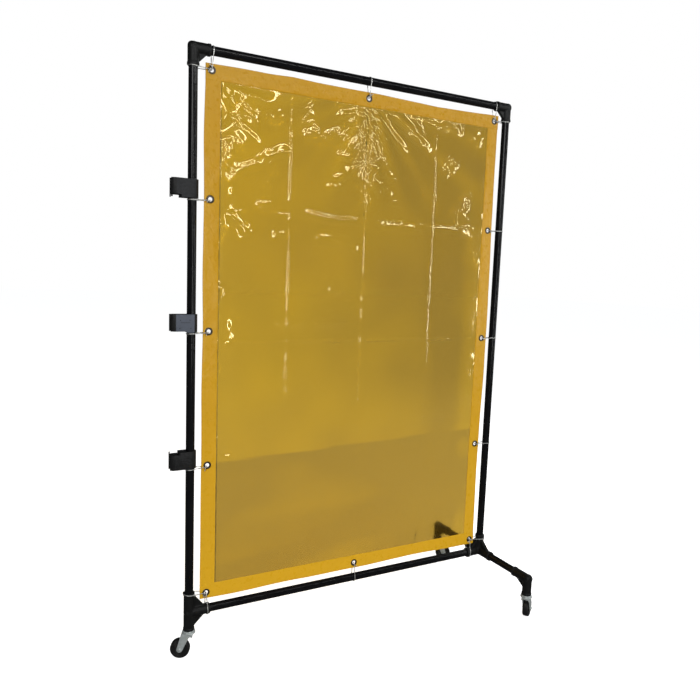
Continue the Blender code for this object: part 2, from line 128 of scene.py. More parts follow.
def revolve(
    profile: Sequence[Point2], sides: int, place: Matrix, closed: bool = False
) -> bmesh.types.BMesh:
    """Turn (radius, height) points about local Z.

    Args:
        profile: Points from one end to the other.
        sides: Number of steps round the axis.
        place: Where local space goes.
        closed: Join the last point to the first, which makes a ring with a bore.

    Returns:
        The turned mesh.
    """
    bm = bmesh.new()
    rings = []
    for radius, height in profile:
        if radius < 1e-6:
            rings.append([bm.verts.new(place @ Vector((0, 0, height)))])
            continue
        ring = []
        for i in range(sides):
            angle = 2 * math.pi * i / sides
            point = Vector((radius * math.cos(angle), radius * math.sin(angle), height))
            ring.append(bm.verts.new(place @ point))
        rings.append(ring)
    following = rings[1:] + rings[:1] if closed else rings[1:]
    for upper, lower in zip(rings, following):
        for i in range(sides):
            j = (i + 1) % sides
            corners = [upper[i % len(upper)], upper[j % len(upper)]]
            corners += [lower[j % len(lower)], lower[i % len(lower)]]
            bm.faces.new(list(dict.fromkeys(corners)))
    return bm


def prism(outline: Sequence[Point2], place: Matrix, depth: float) -> bmesh.types.BMesh:
    """Extrude a local XY outline by depth, half to each side of the local XY plane.

    Args:
        outline: Corners of the outline, in order.
        place: Where local space goes.
        depth: Length of the extrusion.

    Returns:
        The prism.
    """
    bm = bmesh.new()
    layers = []
    for height in (-depth / 2, depth / 2):
        layers.append([bm.verts.new(place @ Vector((x, y, height))) for x, y in outline])
    bm.faces.new(layers[0])
    bm.faces.new(layers[1])
    for i in range(len(outline)):
        j = (i + 1) % len(outline)
        bm.faces.new([layers[0][i], layers[0][j], layers[1][j], layers[1][i]])
    bmesh.ops.recalc_face_normals(bm, faces=bm.faces)
    return bm


def block(low: Sequence[float], high: Sequence[float], place: Matrix) -> bmesh.types.BMesh:
    """Return a box between two local corners."""
    bm = bmesh.new()
    size = Vector(high) - Vector(low)
    middle = (Vector(high) + Vector(low)) / 2
    local = Matrix.Translation(middle) @ Matrix.Diagonal((*size, 1))
    bmesh.ops.create_cube(bm, size=1.0, matrix=place @ local)
    return bm


def arc(centre: Point2, radius: float, start: float, end: float, steps: int) -> list[Point2]:
    """Return the points of a circular arc, with its angles in degrees."""
    angles = [math.radians(start + (end - start) * i / steps) for i in range(steps + 1)]
    return [(centre[0] + radius * math.cos(a), centre[1] + radius * math.sin(a)) for a in angles]


def between(start: Point2, end: Point2, steps: int) -> list[Point2]:
    """Return evenly spaced points between two points, without the two."""
    shares = [i / steps for i in range(1, steps)]
    return [(start[0] + (end[0] - start[0]) * t, start[1] + (end[1] - start[1]) * t) for t in shares]


def joined(parts: Sequence[bmesh.types.BMesh]) -> bmesh.types.BMesh:
    """Gather several bmeshes into one, without joining their surfaces.

    Args:
        parts: The bmeshes, which are freed.

    Returns:
        The gathered mesh.
    """
    whole = bmesh.new()
    for part in parts:
        bmesh.ops.recalc_face_normals(part, faces=part.faces)
        mesh = bpy.data.meshes.new("part")
        part.to_mesh(mesh)
        part.free()
        whole.from_mesh(mesh)
        bpy.data.meshes.remove(mesh)
    return whole


def settle(obj: bpy.types.Object, sharp_degrees: float = 35) -> bpy.types.Object:
    """Replace an object's mesh with its evaluated one, and take its modifiers off.

    Args:
        obj: The object to settle.
        sharp_degrees: Edges bent by more than this stay sharp.

    Returns:
        The same object.
    """
    graph = bpy.context.evaluated_depsgraph_get()
    mesh = bpy.data.meshes.new_from_object(obj.evaluated_get(graph))
    obj.modifiers.clear()
    obj.data = mesh
    mesh.shade_smooth()
    mesh.set_sharp_from_angle(angle=math.radians(sharp_degrees))
    return obj


def carve(
    obj: bpy.types.Object, operation: str, tool: bmesh.types.BMesh, solver: str = "MANIFOLD"
) -> bpy.types.Object:
    """Combine an object with a tool mesh by a Boolean, and settle it."""
    helper = mesh_object("carving_tool", tool)
    modifier = obj.modifiers.new("carve", "BOOLEAN")
    modifier.operation = operation
    modifier.solver = solver
    modifier.object = helper
    settle(obj)
    bpy.data.objects.remove(helper, do_unlink=True)
    return obj


def moulded(obj: bpy.types.Object, voxel: float, rounds: int) -> bpy.types.Object:
    """Melt overlapping shapes into one body with soft edges, as a moulding has.

    Args:
        obj: Object that holds the overlapping closed shapes.
        voxel: Size of the new faces.
        rounds: Number of smoothing passes.

    Returns:
        The same object, settled.
    """
    remesh = obj.modifiers.new("melt", "REMESH")
    remesh.mode = "VOXEL"
    remesh.voxel_size = voxel
    soften = obj.modifiers.new("soften", "SMOOTH")
    soften.factor = 0.5
    soften.iterations = rounds
    return settle(obj, 60)


def bevelled(obj: bpy.types.Object, width: float, segments: int = 2) -> bpy.types.Object:
    """Round an object's sharp edges and settle it."""
    bevel = obj.modifiers.new("bevel", "BEVEL")
    bevel.width = width
    bevel.segments = segments
    bevel.limit_method = "ANGLE"
    bevel.angle_limit = math.radians(32)
    bevel.use_clamp_overlap = True
    return settle(obj)


def smoothstep(share: np.ndarray) -> np.ndarray:
    """Ease a share from 0 to 1 at both ends."""
    held = np.clip(share, 0, 1)
    return held * held * (3 - 2 * held)


def soft_noise(x: np.ndarray, z: np.ndarray, pitch: float, seed: float) -> np.ndarray:
    """Return smooth noise from -1 to 1 whose features are about pitch across.

    Args:
        x: Places across.
        z: Places upward, in the same shape as x.
        pitch: Size of the features.
        seed: Picks one noise field.

    Returns:
        The noise at each place.
    """
    places = zip(x.ravel() / pitch, z.ravel() / pitch)
    values = [noise.noise(Vector((a, b, seed))) for a, b in places]
    return np.array(values).reshape(x.shape)


# ------------------------------------------------------------------ shader groups


class NodeSketch:
    """Adds and wires nodes in one node tree."""

    def __init__(self, tree: bpy.types.NodeTree) -> None:
        """Work on this tree."""
        self.tree = tree

    def add(self, kind: str, settings: dict | None = None, **inputs: object) -> bpy.types.Node:
        """Add a node.

        Args:
            kind: Blender's node type.
            settings: Attributes of the node itself.
            **inputs: Value or source socket for each input, its name with _ for a space.

        Returns:
            The new node.
        """
        node = self.tree.nodes.new(kind)
        for key, value in (settings or {}).items():
            setattr(node, key, value)
        for key, value in inputs.items():
            self.feed(node.inputs[key.replace("_", " ")], value)
        return node

    def feed(self, socket: bpy.types.NodeSocket, value: object) -> None:
        """Give a socket a value, or link a source socket to it."""
        if isinstance(value, bpy.types.NodeSocket):
            self.tree.links.new(value, socket)
        else:
            socket.default_value = value

    def math(self, operation: str, a: object, b: object = 0.5) -> bpy.types.NodeSocket:
        """Return the result of a Math node."""
        node = self.tree.nodes.new("ShaderNodeMath")
        node.operation = operation
        self.feed(node.inputs[0], a)
        self.feed(node.inputs[1], b)
        return node.outputs[0]

    def ranged(
        self, value: object, low: object, high: object, to_low: object, to_high: object
    ) -> bpy.types.NodeSocket:
        """Return value moved from one range to another, held at both ends."""
        node = self.tree.nodes.new("ShaderNodeMapRange")
        for socket, given in zip(node.inputs, (value, low, high, to_low, to_high)):
            self.feed(socket, given)
        return node.outputs[0]

    def blend(self, share: object, a: object, b: object) -> bpy.types.NodeSocket:
        """Return a colour between a and b."""
        node = self.tree.nodes.new("ShaderNodeMix")
        node.data_type = "RGBA"
        self.feed(node.inputs[0], share)
        self.feed(node.inputs[6], a)
        self.feed(node.inputs[7], b)
        return node.outputs[2]

    def mapped(self, vector: object, scale: Sequence[float]) -> bpy.types.NodeSocket:
        """Return a vector stretched by scale."""
        return self.add("ShaderNodeMapping", Vector=vector, Scale=tuple(scale)).outputs[0]


def new_group(
    name: str, inputs: dict[str, float | None], outputs: dict[str, str]
) -> tuple[bpy.types.NodeTree, NodeSketch, bpy.types.Node, bpy.types.Node]:
    """Start a shader group.

    Args:
        name: Name of the group.
        inputs: Default of each number input, or None for a vector input.
        outputs: Socket type of each output.

    Returns:
        The tree, a sketch of it, its input node and its output node.
    """
    tree = bpy.data.node_groups.new(name, "ShaderNodeTree")
    for label, default in inputs.items():
        kind = "NodeSocketVector" if default is None else "NodeSocketFloat"
        socket = tree.interface.new_socket(label, in_out="INPUT", socket_type=kind)
        if default is not None:
            socket.default_value = default
    for label, kind in outputs.items():
        tree.interface.new_socket(label, in_out="OUTPUT", socket_type=kind)
    sketch = NodeSketch(tree)
    return tree, sketch, tree.nodes.new("NodeGroupInput"), tree.nodes.new("NodeGroupOutput")


def mottle_group() -> bpy.types.NodeTree:
    """Build the group for cloudy tone changes in a finish."""
    tree, sketch, given, out = new_group(
        "cloudy_mottle", {"Vector": None, "Scale": 12.0, "Softness": 0.5}, {"Mask": "NodeSocketFloat"}
    )
    broad = sketch.add("ShaderNodeTexNoise", Vector=given.outputs[0], Scale=given.outputs[1])
    broad.inputs["Detail"].default_value = 5.0
    finer_scale = sketch.math("MULTIPLY", given.outputs[1], 4.3)
    finer = sketch.add("ShaderNodeTexNoise", Vector=given.outputs[0], Scale=finer_scale)
    finer.inputs["Detail"].default_value = 3.0
    total = sketch.math("ADD", sketch.math("MULTIPLY", broad.outputs[0], 0.7),
                        sketch.math("MULTIPLY", finer.outputs[0], 0.3))
    half = sketch.math("MULTIPLY", given.outputs[2], 0.35)
    low = sketch.math("SUBTRACT", 0.5, half)
    high = sketch.math("ADD", 0.5, half)
    sketch.feed(out.inputs[0], sketch.ranged(total, low, high, 0.0, 1.0))
    return tree


def grain_group() -> bpy.types.NodeTree:
    """Build the group for the fine surface of coatings and mouldings."""
    tree, sketch, given, out = new_group(
        "surface_grain", {"Vector": None, "Scale": 900.0, "Pits": 0.3}, {"Height": "NodeSocketFloat"}
    )
    fine = sketch.add("ShaderNodeTexNoise", Vector=given.outputs[0], Scale=given.outputs[1])
    fine.inputs["Detail"].default_value = 4.0
    cells = sketch.add("ShaderNodeTexVoronoi", Vector=given.outputs[0], Scale=given.outputs[1])
    pits = sketch.math("MULTIPLY", cells.outputs["Distance"], given.outputs[2])
    sketch.feed(out.inputs[0], sketch.math("ADD", fine.outputs[0], pits))
    return tree


def scuff_group() -> bpy.types.NodeTree:
    """Build the group for scattered short scuffs and dust."""
    tree, sketch, given, out = new_group(
        "scuffs_and_dust", {"Vector": None, "Scale": 60.0, "Amount": 0.2}, {"Mask": "NodeSocketFloat"}
    )
    warp = sketch.add("ShaderNodeTexNoise", Vector=given.outputs[0], Scale=18.0)
    shifted = sketch.add("ShaderNodeVectorMath", {"operation": "MULTIPLY_ADD"})
    sketch.feed(shifted.inputs[0], warp.outputs["Color"])
    shifted.inputs[1].default_value = (0.02, 0.02, 0.02)
    sketch.feed(shifted.inputs[2], given.outputs[0])
    streaks = sketch.mapped(shifted.outputs[0], (1.0, 1.0, 0.22))
    marks = sketch.add("ShaderNodeTexNoise", Vector=streaks, Scale=given.outputs[1])
    marks.inputs["Detail"].default_value = 6.0
    edge = sketch.math("SUBTRACT", 0.72, sketch.math("MULTIPLY", given.outputs[2], 0.25))
    top = sketch.math("ADD", edge, 0.12)
    sketch.feed(out.inputs[0], sketch.ranged(marks.outputs[0], edge, top, 0.0, 1.0))
    return tree


def edge_group() -> bpy.types.NodeTree:
    """Build the group for edges that handling has rubbed."""
    tree, sketch, given, out = new_group(
        "rubbed_edges", {"Vector": None, "Scale": 220.0, "Amount": 0.4}, {"Mask": "NodeSocketFloat"}
    )
    geometry = sketch.add("ShaderNodeNewGeometry")
    ridge = sketch.ranged(geometry.outputs["Pointiness"], 0.505, 0.58, 0.0, 1.0)
    breaks = sketch.add("ShaderNodeTexNoise", Vector=given.outputs[0], Scale=given.outputs[1])
    broken = sketch.ranged(breaks.outputs[0], 0.42, 0.62, 0.0, 1.0)
    sketch.feed(out.inputs[0], sketch.math("MULTIPLY", sketch.math("MULTIPLY", ridge, broken),
                                           given.outputs[2]))
    return tree


class Effects:
    """The shader groups that the finishes share, each built once."""

    def __init__(self) -> None:
        """Build the groups."""
        self.mottle = mottle_group()
        self.grain = grain_group()
        self.scuffs = scuff_group()
        self.edges = edge_group()

    def use(
        self, sketch: NodeSketch, group: bpy.types.NodeTree, **inputs: object
    ) -> bpy.types.NodeSocket:
        """Place a group in a material and return its first output."""
        node = sketch.tree.nodes.new("ShaderNodeGroup")
        node.node_tree = group
        for key, value in inputs.items():
            sketch.feed(node.inputs[key], value)
        return node.outputs[0]


# ------------------------------------------------------------------ finishes


@dataclass(frozen=True)
class SolidFinish:
    """An opaque finish with cloudy tone, fine grain, scuffs and rubbed edges."""

    name: str
    slot: str
    colour: Colour
    second_colour: Colour
    worn_colour: Colour
    metallic: float = 0.0
    roughness: tuple[float, float] = (0.4, 0.5)
    mottle_scale: float = 14.0
    grain_scale: float = 900.0
    grain_height: float = 0.0001
    pits: float = 0.3
    scuffs: float = 0.2
    rubbed: float = 0.3
    specular: float = 0.5
    # Pale colour for wear and painted sheen, read from a mesh attribute.
    wear_and_sheen_colour: Colour | None = None

    def material(self, effects: Effects) -> bpy.types.Material:
        """Build the finish.

        Args:
            effects: The shared shader groups.

        Returns:
            The new material.
        """
        material = bpy.data.materials.new(self.name)
        material.use_nodes = True
        sketch = NodeSketch(material.node_tree)
        shader = material.node_tree.nodes["Principled BSDF"]
        place = sketch.add("ShaderNodeTexCoord").outputs["Object"]
        clouds = effects.use(sketch, effects.mottle, Vector=place, Scale=self.mottle_scale)
        marks = effects.use(sketch, effects.scuffs, Vector=place, Amount=self.scuffs)
        rubbed = effects.use(sketch, effects.edges, Vector=place, Amount=self.rubbed)
        grain = effects.use(
            sketch, effects.grain, Vector=place, Scale=self.grain_scale, Pits=self.pits
        )
        toned = sketch.blend(clouds, (*self.colour, 1.0), (*self.second_colour, 1.0))
        if self.wear_and_sheen_colour is not None:
            # Pale wear and painted sheen on the couplers' flat sides.
            paint_wear_and_sheen = sketch.add("ShaderNodeAttribute", {"attribute_name": WEAR_AND_SHEEN}).outputs["Fac"]
            toned = sketch.blend(paint_wear_and_sheen, toned, (*self.wear_and_sheen_colour, 1.0))
        wear = sketch.math("MAXIMUM", sketch.math("MULTIPLY", marks, self.scuffs), rubbed)
        sketch.feed(shader.inputs["Base Color"], sketch.blend(wear, toned, (*self.worn_colour, 1.0)))
        low, high = self.roughness
        rough = sketch.ranged(clouds, 0.0, 1.0, low, high)
        dusty = sketch.math("MULTIPLY", marks, 0.12)
        sketch.feed(shader.inputs["Roughness"], sketch.math("ADD", rough, dusty))
        bump = sketch.add("ShaderNodeBump", Height=grain, Distance=self.grain_height, Strength=1.0)
        sketch.feed(shader.inputs["Normal"], bump.outputs[0])
        shader.inputs["Metallic"].default_value = self.metallic
        shader.inputs["Specular IOR Level"].default_value = self.specular
        return material


@dataclass(frozen=True)
class HemFinish:
    """Doubled film of the hem: opaque, glossy, with soft ripples in its surface, painted shade towards the
    top and painted light towards the bottom.
    """

    name: str
    slot: str
    colour: Colour
    painted_shade_colour: Colour
    painted_light_colour: Colour
    glint_colour: Colour = (1.0, 0.88, 0.50)

    def material(self, effects: Effects) -> bpy.types.Material:
        """Build the finish.

        Args:
            effects: The shared shader groups.

        Returns:
            The new material.
        """
        material = bpy.data.materials.new(self.name)
        material.use_nodes = True
        sketch = NodeSketch(material.node_tree)
        shader = material.node_tree.nodes["Principled BSDF"]
        place = sketch.add("ShaderNodeTexCoord").outputs["Object"]
        clouds = effects.use(sketch, effects.mottle, Vector=place, Scale=9.0, Softness=0.8)
        blotches = effects.use(sketch, effects.mottle, Vector=place, Scale=55.0, Softness=0.9)
        height = sketch.add("ShaderNodeSeparateXYZ", Vector=place).outputs["Z"]
        # Painted shade: darker towards the top, mixed with random cloudy tone.
        top_shade_share = sketch.ranged(height, 1.1, 1.95, 0.0, 0.45)
        painted_shade_share = sketch.math("ADD", sketch.math("MULTIPLY", clouds, 0.25), top_shade_share)
        toned = sketch.blend(painted_shade_share, (*self.colour, 1.0), (*self.painted_shade_colour, 1.0))
        # Painted light: paler towards the bottom, mixed with random blotches.
        painted_light_share = sketch.math("MULTIPLY", blotches, 0.10)
        painted_light_share = sketch.math("ADD", painted_light_share, sketch.ranged(height, 0.2, 1.1, 0.55, 0.0))
        sketch.feed(shader.inputs["Base Color"], sketch.blend(painted_light_share, toned, (*self.painted_light_colour, 1.0)))
        sketch.feed(shader.inputs["Roughness"], sketch.ranged(blotches, 0.0, 1.0, 0.22, 0.36))
        shader.inputs["Specular Tint"].default_value = (*self.glint_colour, 1.0)
        shader.inputs["Specular IOR Level"].default_value = 0.28
        ripples = sketch.add("ShaderNodeTexNoise", Vector=place, Scale=60.0)
        ripples.inputs["Distortion"].default_value = 0.6
        fine = effects.use(sketch, effects.grain, Vector=place, Scale=420.0, Pits=0.4)
        broad_bump = sketch.add(
            "ShaderNodeBump", Height=ripples.outputs[0], Distance=0.0016, Strength=0.7
        )
        bump = sketch.add("ShaderNodeBump", Height=fine, Distance=0.00012, Strength=0.8)
        sketch.feed(bump.inputs["Normal"], broad_bump.outputs[0])
        sketch.feed(shader.inputs["Normal"], bump.outputs[0])
        return material


@dataclass(frozen=True)
class FilmFinish:
    """Clear tinted film, slightly hazy, with fine crumples where it has been creased, and painted shade and
    painted reflection read from a mesh attribute.
    """

    name: str
    slot: str
    colour: Colour
    painted_shade_colour: Colour
    lamp_colour: Colour
    glint_colour: Colour
    seam_colour: Colour
    clearness: float = 0.93
    index: float = 1.5

    def material(self, effects: Effects) -> bpy.types.Material:
        """Build the finish. Rays from lamps pass it as they would a thin sheet.

        Args:
            effects: The shared shader groups.

        Returns:
            The new material.
        """
        material = bpy.data.materials.new(self.name)
        material.use_nodes = True
        sketch = NodeSketch(material.node_tree)
        nodes = material.node_tree.nodes
        shader = nodes["Principled BSDF"]
        place = sketch.add("ShaderNodeTexCoord").outputs["Object"]
        clouds = effects.use(sketch, effects.mottle, Vector=place, Scale=5.0, Softness=1.6)
        crumple = sketch.add("ShaderNodeAttribute", {"attribute_name": CRUMPLE}).outputs["Fac"]
        # Painted shade and painted reflection over the film, with some random tone. Above 1 the attribute
        # marks the dark seam.
        painted_shade_and_seam = sketch.add("ShaderNodeAttribute", {"attribute_name": PAINTED_SHADE_AND_SEAM}).outputs["Fac"]
        tone = sketch.math("ADD", painted_shade_and_seam, sketch.ranged(clouds, 0.0, 1.0, -0.10, 0.10))
        toned = sketch.blend(tone, (*self.colour, 1.0), (*self.painted_shade_colour, 1.0))
        seam = sketch.math("SUBTRACT", painted_shade_and_seam, 1.0)
        sketch.feed(shader.inputs["Base Color"], sketch.blend(seam, toned, (*self.seam_colour, 1.0)))
        shader.inputs["Specular Tint"].default_value = (*self.glint_colour, 1.0)
        shader.inputs["Transmission Weight"].default_value = self.clearness
        shader.inputs["IOR"].default_value = self.index
        haze = effects.use(sketch, effects.mottle, Vector=place, Scale=30.0, Softness=0.8)
        sketch.feed(shader.inputs["Roughness"], sketch.ranged(haze, 0.0, 1.0, 0.06, 0.10))
        warp = sketch.add("ShaderNodeTexNoise", Vector=place, Scale=28.0)
        shifted = sketch.add("ShaderNodeVectorMath", {"operation": "MULTIPLY_ADD"})
        sketch.feed(shifted.inputs[0], warp.outputs["Color"])
        shifted.inputs[1].default_value = (0.03, 0.03, 0.03)
        sketch.feed(shifted.inputs[2], place)
        facets = sketch.add("ShaderNodeTexVoronoi", Vector=shifted.outputs[0], Scale=62.0)
        height = sketch.math("MULTIPLY", facets.outputs["Distance"], crumple)
        crumple_bump = sketch.add("ShaderNodeBump", Height=height, Distance=0.0060, Strength=1.0)
        skin = effects.use(sketch, effects.grain, Vector=place, Scale=26.0, Pits=0.0)
        bump = sketch.add("ShaderNodeBump", Height=skin, Distance=0.0005, Strength=0.5)
        sketch.feed(bump.inputs["Normal"], crumple_bump.outputs[0])
        sketch.feed(shader.inputs["Normal"], bump.outputs[0])
        passing = sketch.add("ShaderNodeBsdfTransparent", Color=(*self.lamp_colour, 1.0))
        path = sketch.add("ShaderNodeLightPath")
        mix = sketch.add("ShaderNodeMixShader")
        sketch.feed(mix.inputs[0], path.outputs["Is Shadow Ray"])
        sketch.feed(mix.inputs[1], shader.outputs[0])
        sketch.feed(mix.inputs[2], passing.outputs[0])
        sketch.feed(nodes["Material Output"].inputs["Surface"], mix.outputs[0])
        return material


PIPE_COATING = SolidFinish(
    "black_pipe_coating", "pipe_coating", (0.0022, 0.0022, 0.0025), (0.004, 0.004, 0.0045),
    (0.02, 0.02, 0.022), roughness=(0.15, 0.21), mottle_scale=30.0, grain_scale=260.0,
    grain_height=0.00002, scuffs=0.05, rubbed=0.0, specular=0.14,
)
JOINT_PLASTIC = SolidFinish(
    "black_moulded_plastic", "joint_plastic", (0.0035, 0.0036, 0.0034), (0.0060, 0.0062, 0.0060),
    (0.03, 0.03, 0.032), roughness=(0.40, 0.52), mottle_scale=60.0, grain_scale=1100.0,
    grain_height=0.00010, pits=0.6, scuffs=0.35, rubbed=0.35, specular=0.16,
    wear_and_sheen_colour=(0.056, 0.064, 0.082),
)
ZINC = SolidFinish(
    "zinc_plated_steel", "zinc_steel", (0.50, 0.54, 0.53), (0.36, 0.39, 0.385),
    (0.20, 0.20, 0.20), metallic=0.55, roughness=(0.30, 0.46), mottle_scale=120.0,
    grain_scale=500.0, grain_height=0.00006, scuffs=0.5, rubbed=0.0,
)
RUBBER = SolidFinish(
    "black_wheel_rubber", "wheel_rubber", (0.0032, 0.0032, 0.0032), (0.007, 0.0068, 0.0064),
    (0.04, 0.038, 0.034), specular=0.25, roughness=(0.48, 0.66), mottle_scale=90.0, grain_scale=700.0,
    grain_height=0.00014, pits=0.4, scuffs=0.55, rubbed=0.2,
)
EYELET_METAL = SolidFinish(
    "blackened_eyelet", "eyelet_metal", (0.060, 0.052, 0.042), (0.030, 0.026, 0.022),
    (0.32, 0.29, 0.24), metallic=1.0, roughness=(0.24, 0.38), mottle_scale=260.0,
    grain_scale=900.0, grain_height=0.00004, scuffs=0.4, rubbed=0.3,
)
TIE_WIRE = SolidFinish(
    "steel_tie_wire", "tie_wire", (0.62, 0.62, 0.60), (0.42, 0.42, 0.40),
    (0.18, 0.16, 0.14), metallic=0.9, roughness=(0.30, 0.46), mottle_scale=200.0,
    grain_scale=1200.0, grain_height=0.00003, scuffs=0.5, rubbed=0.0,
)
# Hem colours: plain, painted shade, painted light.
HEM = HemFinish(
    "amber_hem_film", "curtain_hem", (0.375, 0.196, 0.006), (0.250, 0.122, 0.004), (0.62, 0.345, 0.012)
)
# The film's second colour is its painted shade colour.
FILM = FilmFinish(
    "amber_curtain_film", "curtain_film", (0.475, 0.298, 0.026), (0.318, 0.203, 0.032),
    (0.72, 0.58, 0.22), (1.0, 0.93, 0.62), (0.13, 0.085, 0.02),
)


class Wardrobe:
    """The materials of the finishes, each built when it is first asked for."""

    def __init__(self) -> None:
        """Build the shared effects."""
        self.effects = Effects()
        self.made: dict[str, bpy.types.Material] = {}

    def material(self, finish: "SolidFinish | HemFinish | FilmFinish") -> bpy.types.Material:
        """Return a finish's material."""
        if finish.name not in self.made:
            self.made[finish.name] = finish.material(self.effects)
        return self.made[finish.name]

    def dress(
        self,
        obj: bpy.types.Object,
        finish: "SolidFinish | HemFinish | FilmFinish",
        body: str,
        nodes: Sequence[str] = (),
    ) -> bpy.types.Object:
        """Give a piece its finish, body and CAD nodes.

        Args:
            obj: The finished piece.
            finish: Its finish.
            body: The CAD body that it moves with.
            nodes: CAD nodes that it stands for.

        Returns:
            The same object.
        """
        obj.data.materials.clear()
        obj.data.materials.append(self.material(finish))
        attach(obj, body)
        if nodes:
            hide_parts(*nodes)
        LOG.info("%s: %d faces, on %s", obj.name, len(obj.data.polygons), body)
        return obj


# ------------------------------------------------------------------ geometry node trees


def geometry_tree(name: str, numbers: dict[str, float]) -> tuple[NodeSketch, bpy.types.Node, bpy.types.Node]:
    """Start a Geometry Nodes tree with a Geometry input, number inputs and a Material input.

    Args:
        name: Name of the tree.
        numbers: Default of each number input.

    Returns:
        A sketch of the tree, its input node and its output node.
    """
    tree = bpy.data.node_groups.new(name, "GeometryNodeTree")
    tree.interface.new_socket("Geometry", in_out="INPUT", socket_type="NodeSocketGeometry")
    for label, default in numbers.items():
        socket = tree.interface.new_socket(label, in_out="INPUT", socket_type="NodeSocketFloat")
        socket.default_value = default
    tree.interface.new_socket("Material", in_out="INPUT", socket_type="NodeSocketMaterial")
    tree.interface.new_socket("Geometry", in_out="OUTPUT", socket_type="NodeSocketGeometry")
    return NodeSketch(tree), tree.nodes.new("NodeGroupInput"), tree.nodes.new("NodeGroupOutput")


def finish_tree(
    sketch: NodeSketch, given: bpy.types.Node, out: bpy.types.Node, shape: bpy.types.NodeSocket
) -> bpy.types.NodeTree:
    """End a tree in Realize Instances and Set Material."""
    real = sketch.add("GeometryNodeRealizeInstances", Geometry=shape)
    painted = sketch.add(
        "GeometryNodeSetMaterial", Geometry=real.outputs[0], Material=given.outputs["Material"]
    )
    sketch.feed(out.inputs[0], painted.outputs[0])
    return sketch.tree


def eyelet_tree() -> bpy.types.NodeTree:
    """Build the tree that puts a rolled eyelet ring on each point, facing along Y."""
    sketch, given, out = geometry_tree(
        "rolled_eyelets",
        {"Ring Radius": 0.0099, "Roll Width": 0.0062, "Roll Height": 0.0056, "Roll Fillet": 0.002},
    )
    ring = sketch.add(
        "GeometryNodeCurvePrimitiveCircle", Resolution=40, Radius=given.outputs["Ring Radius"]
    )
    section = sketch.add(
        "GeometryNodeCurvePrimitiveQuadrilateral",
        Width=given.outputs["Roll Width"], Height=given.outputs["Roll Height"],
    )
    rounded = sketch.add(
        "GeometryNodeFilletCurve", {"mode": "POLY"},
        Curve=section.outputs[0], Radius=given.outputs["Roll Fillet"], Count=4,
    )
    rim = sketch.add(
        "GeometryNodeCurveToMesh", Curve=ring.outputs[0], Profile_Curve=rounded.outputs[0]
    )
    placed = sketch.add(
        "GeometryNodeInstanceOnPoints", Points=given.outputs["Geometry"], Instance=rim.outputs[0],
        Rotation=(math.radians(90), 0, 0),
    )
    return finish_tree(sketch, given, out, placed.outputs[0])


def wire_tree() -> bpy.types.NodeTree:
    """Build the tree that draws a round wire along each line of edges."""
    sketch, given, out = geometry_tree("drawn_wire", {"Wire Radius": 0.0008})
    line = sketch.add("GeometryNodeMeshToCurve", Mesh=given.outputs["Geometry"])
    section = sketch.add(
        "GeometryNodeCurvePrimitiveCircle", Resolution=8, Radius=given.outputs["Wire Radius"]
    )
    wire = sketch.add(
        "GeometryNodeCurveToMesh", Curve=line.outputs[0], Profile_Curve=section.outputs[0], Fill_Caps=True
    )
    return finish_tree(sketch, given, out, wire.outputs[0])


def stud_tree() -> bpy.types.NodeTree:
    """Build the tree that puts a low domed stud on each point, facing along Y."""
    sketch, given, out = geometry_tree("domed_studs", {"Stud Radius": 0.0016, "Flatness": 0.5})
    dome = sketch.add(
        "GeometryNodeMeshUVSphere", Segments=20, Rings=10, Radius=given.outputs["Stud Radius"]
    )
    flat = sketch.add("ShaderNodeCombineXYZ", X=1.0, Y=given.outputs["Flatness"], Z=1.0)
    placed = sketch.add(
        "GeometryNodeInstanceOnPoints", Points=given.outputs["Geometry"],
        Instance=dome.outputs[0], Scale=flat.outputs[0],
    )
    return finish_tree(sketch, given, out, placed.outputs[0])


def grow(
    obj: bpy.types.Object, tree: bpy.types.NodeTree, material: bpy.types.Material, **numbers: float
) -> bpy.types.Object:
    """Run a tree on an object and keep the result as a plain mesh.

    Args:
        obj: Object whose points or edges the tree reads.
        tree: The Geometry Nodes tree.
        material: Material for the tree's Material input.
        **numbers: Values for its number inputs, with _ for a space.

    Returns:
        The same object, settled, with outward faces.
    """
    modifier = obj.modifiers.new(tree.name, "NODES")
    modifier.node_group = tree
    values = {key.replace("_", " "): value for key, value in numbers.items()}
    values["Material"] = material
    for item in tree.interface.items_tree:
        if item.in_out == "INPUT" and item.name in values:
            modifier[item.identifier] = values[item.name]
    settle(obj)
    bm = bmesh.new()
    bm.from_mesh(obj.data)
    bmesh.ops.remove_doubles(bm, verts=bm.verts, dist=1e-6)
    bmesh.ops.recalc_face_normals(bm, faces=bm.faces)
    bm.to_mesh(obj.data)
    bm.free()
    obj.data.shade_smooth()
    obj.data.set_sharp_from_angle(angle=math.radians(50))
    return obj


def points_object(name: str, points: Sequence[Vector]) -> bpy.types.Object:
    """Return an object that holds only loose points."""
    bm = bmesh.new()
    for point in points:
        bm.verts.new(point)
    return mesh_object(name, bm)


def lines_object(name: str, lines: Sequence[tuple[list[Vector], bool]]) -> bpy.types.Object:
    """Return an object that holds lines of edges.

    Args:
        name: Name of the new object.
        lines: Points of each line, and whether it is closed.

    Returns:
        The new object.
    """
    bm = bmesh.new()
    for points, closed in lines:
        verts = [bm.verts.new(point) for point in points]
        pairs = list(zip(verts, verts[1:]))
        if closed:
            pairs.append((verts[-1], verts[0]))
        for pair in pairs:
            bm.edges.new(pair)
    return mesh_object(name, bm)


# ------------------------------------------------------------------ layout


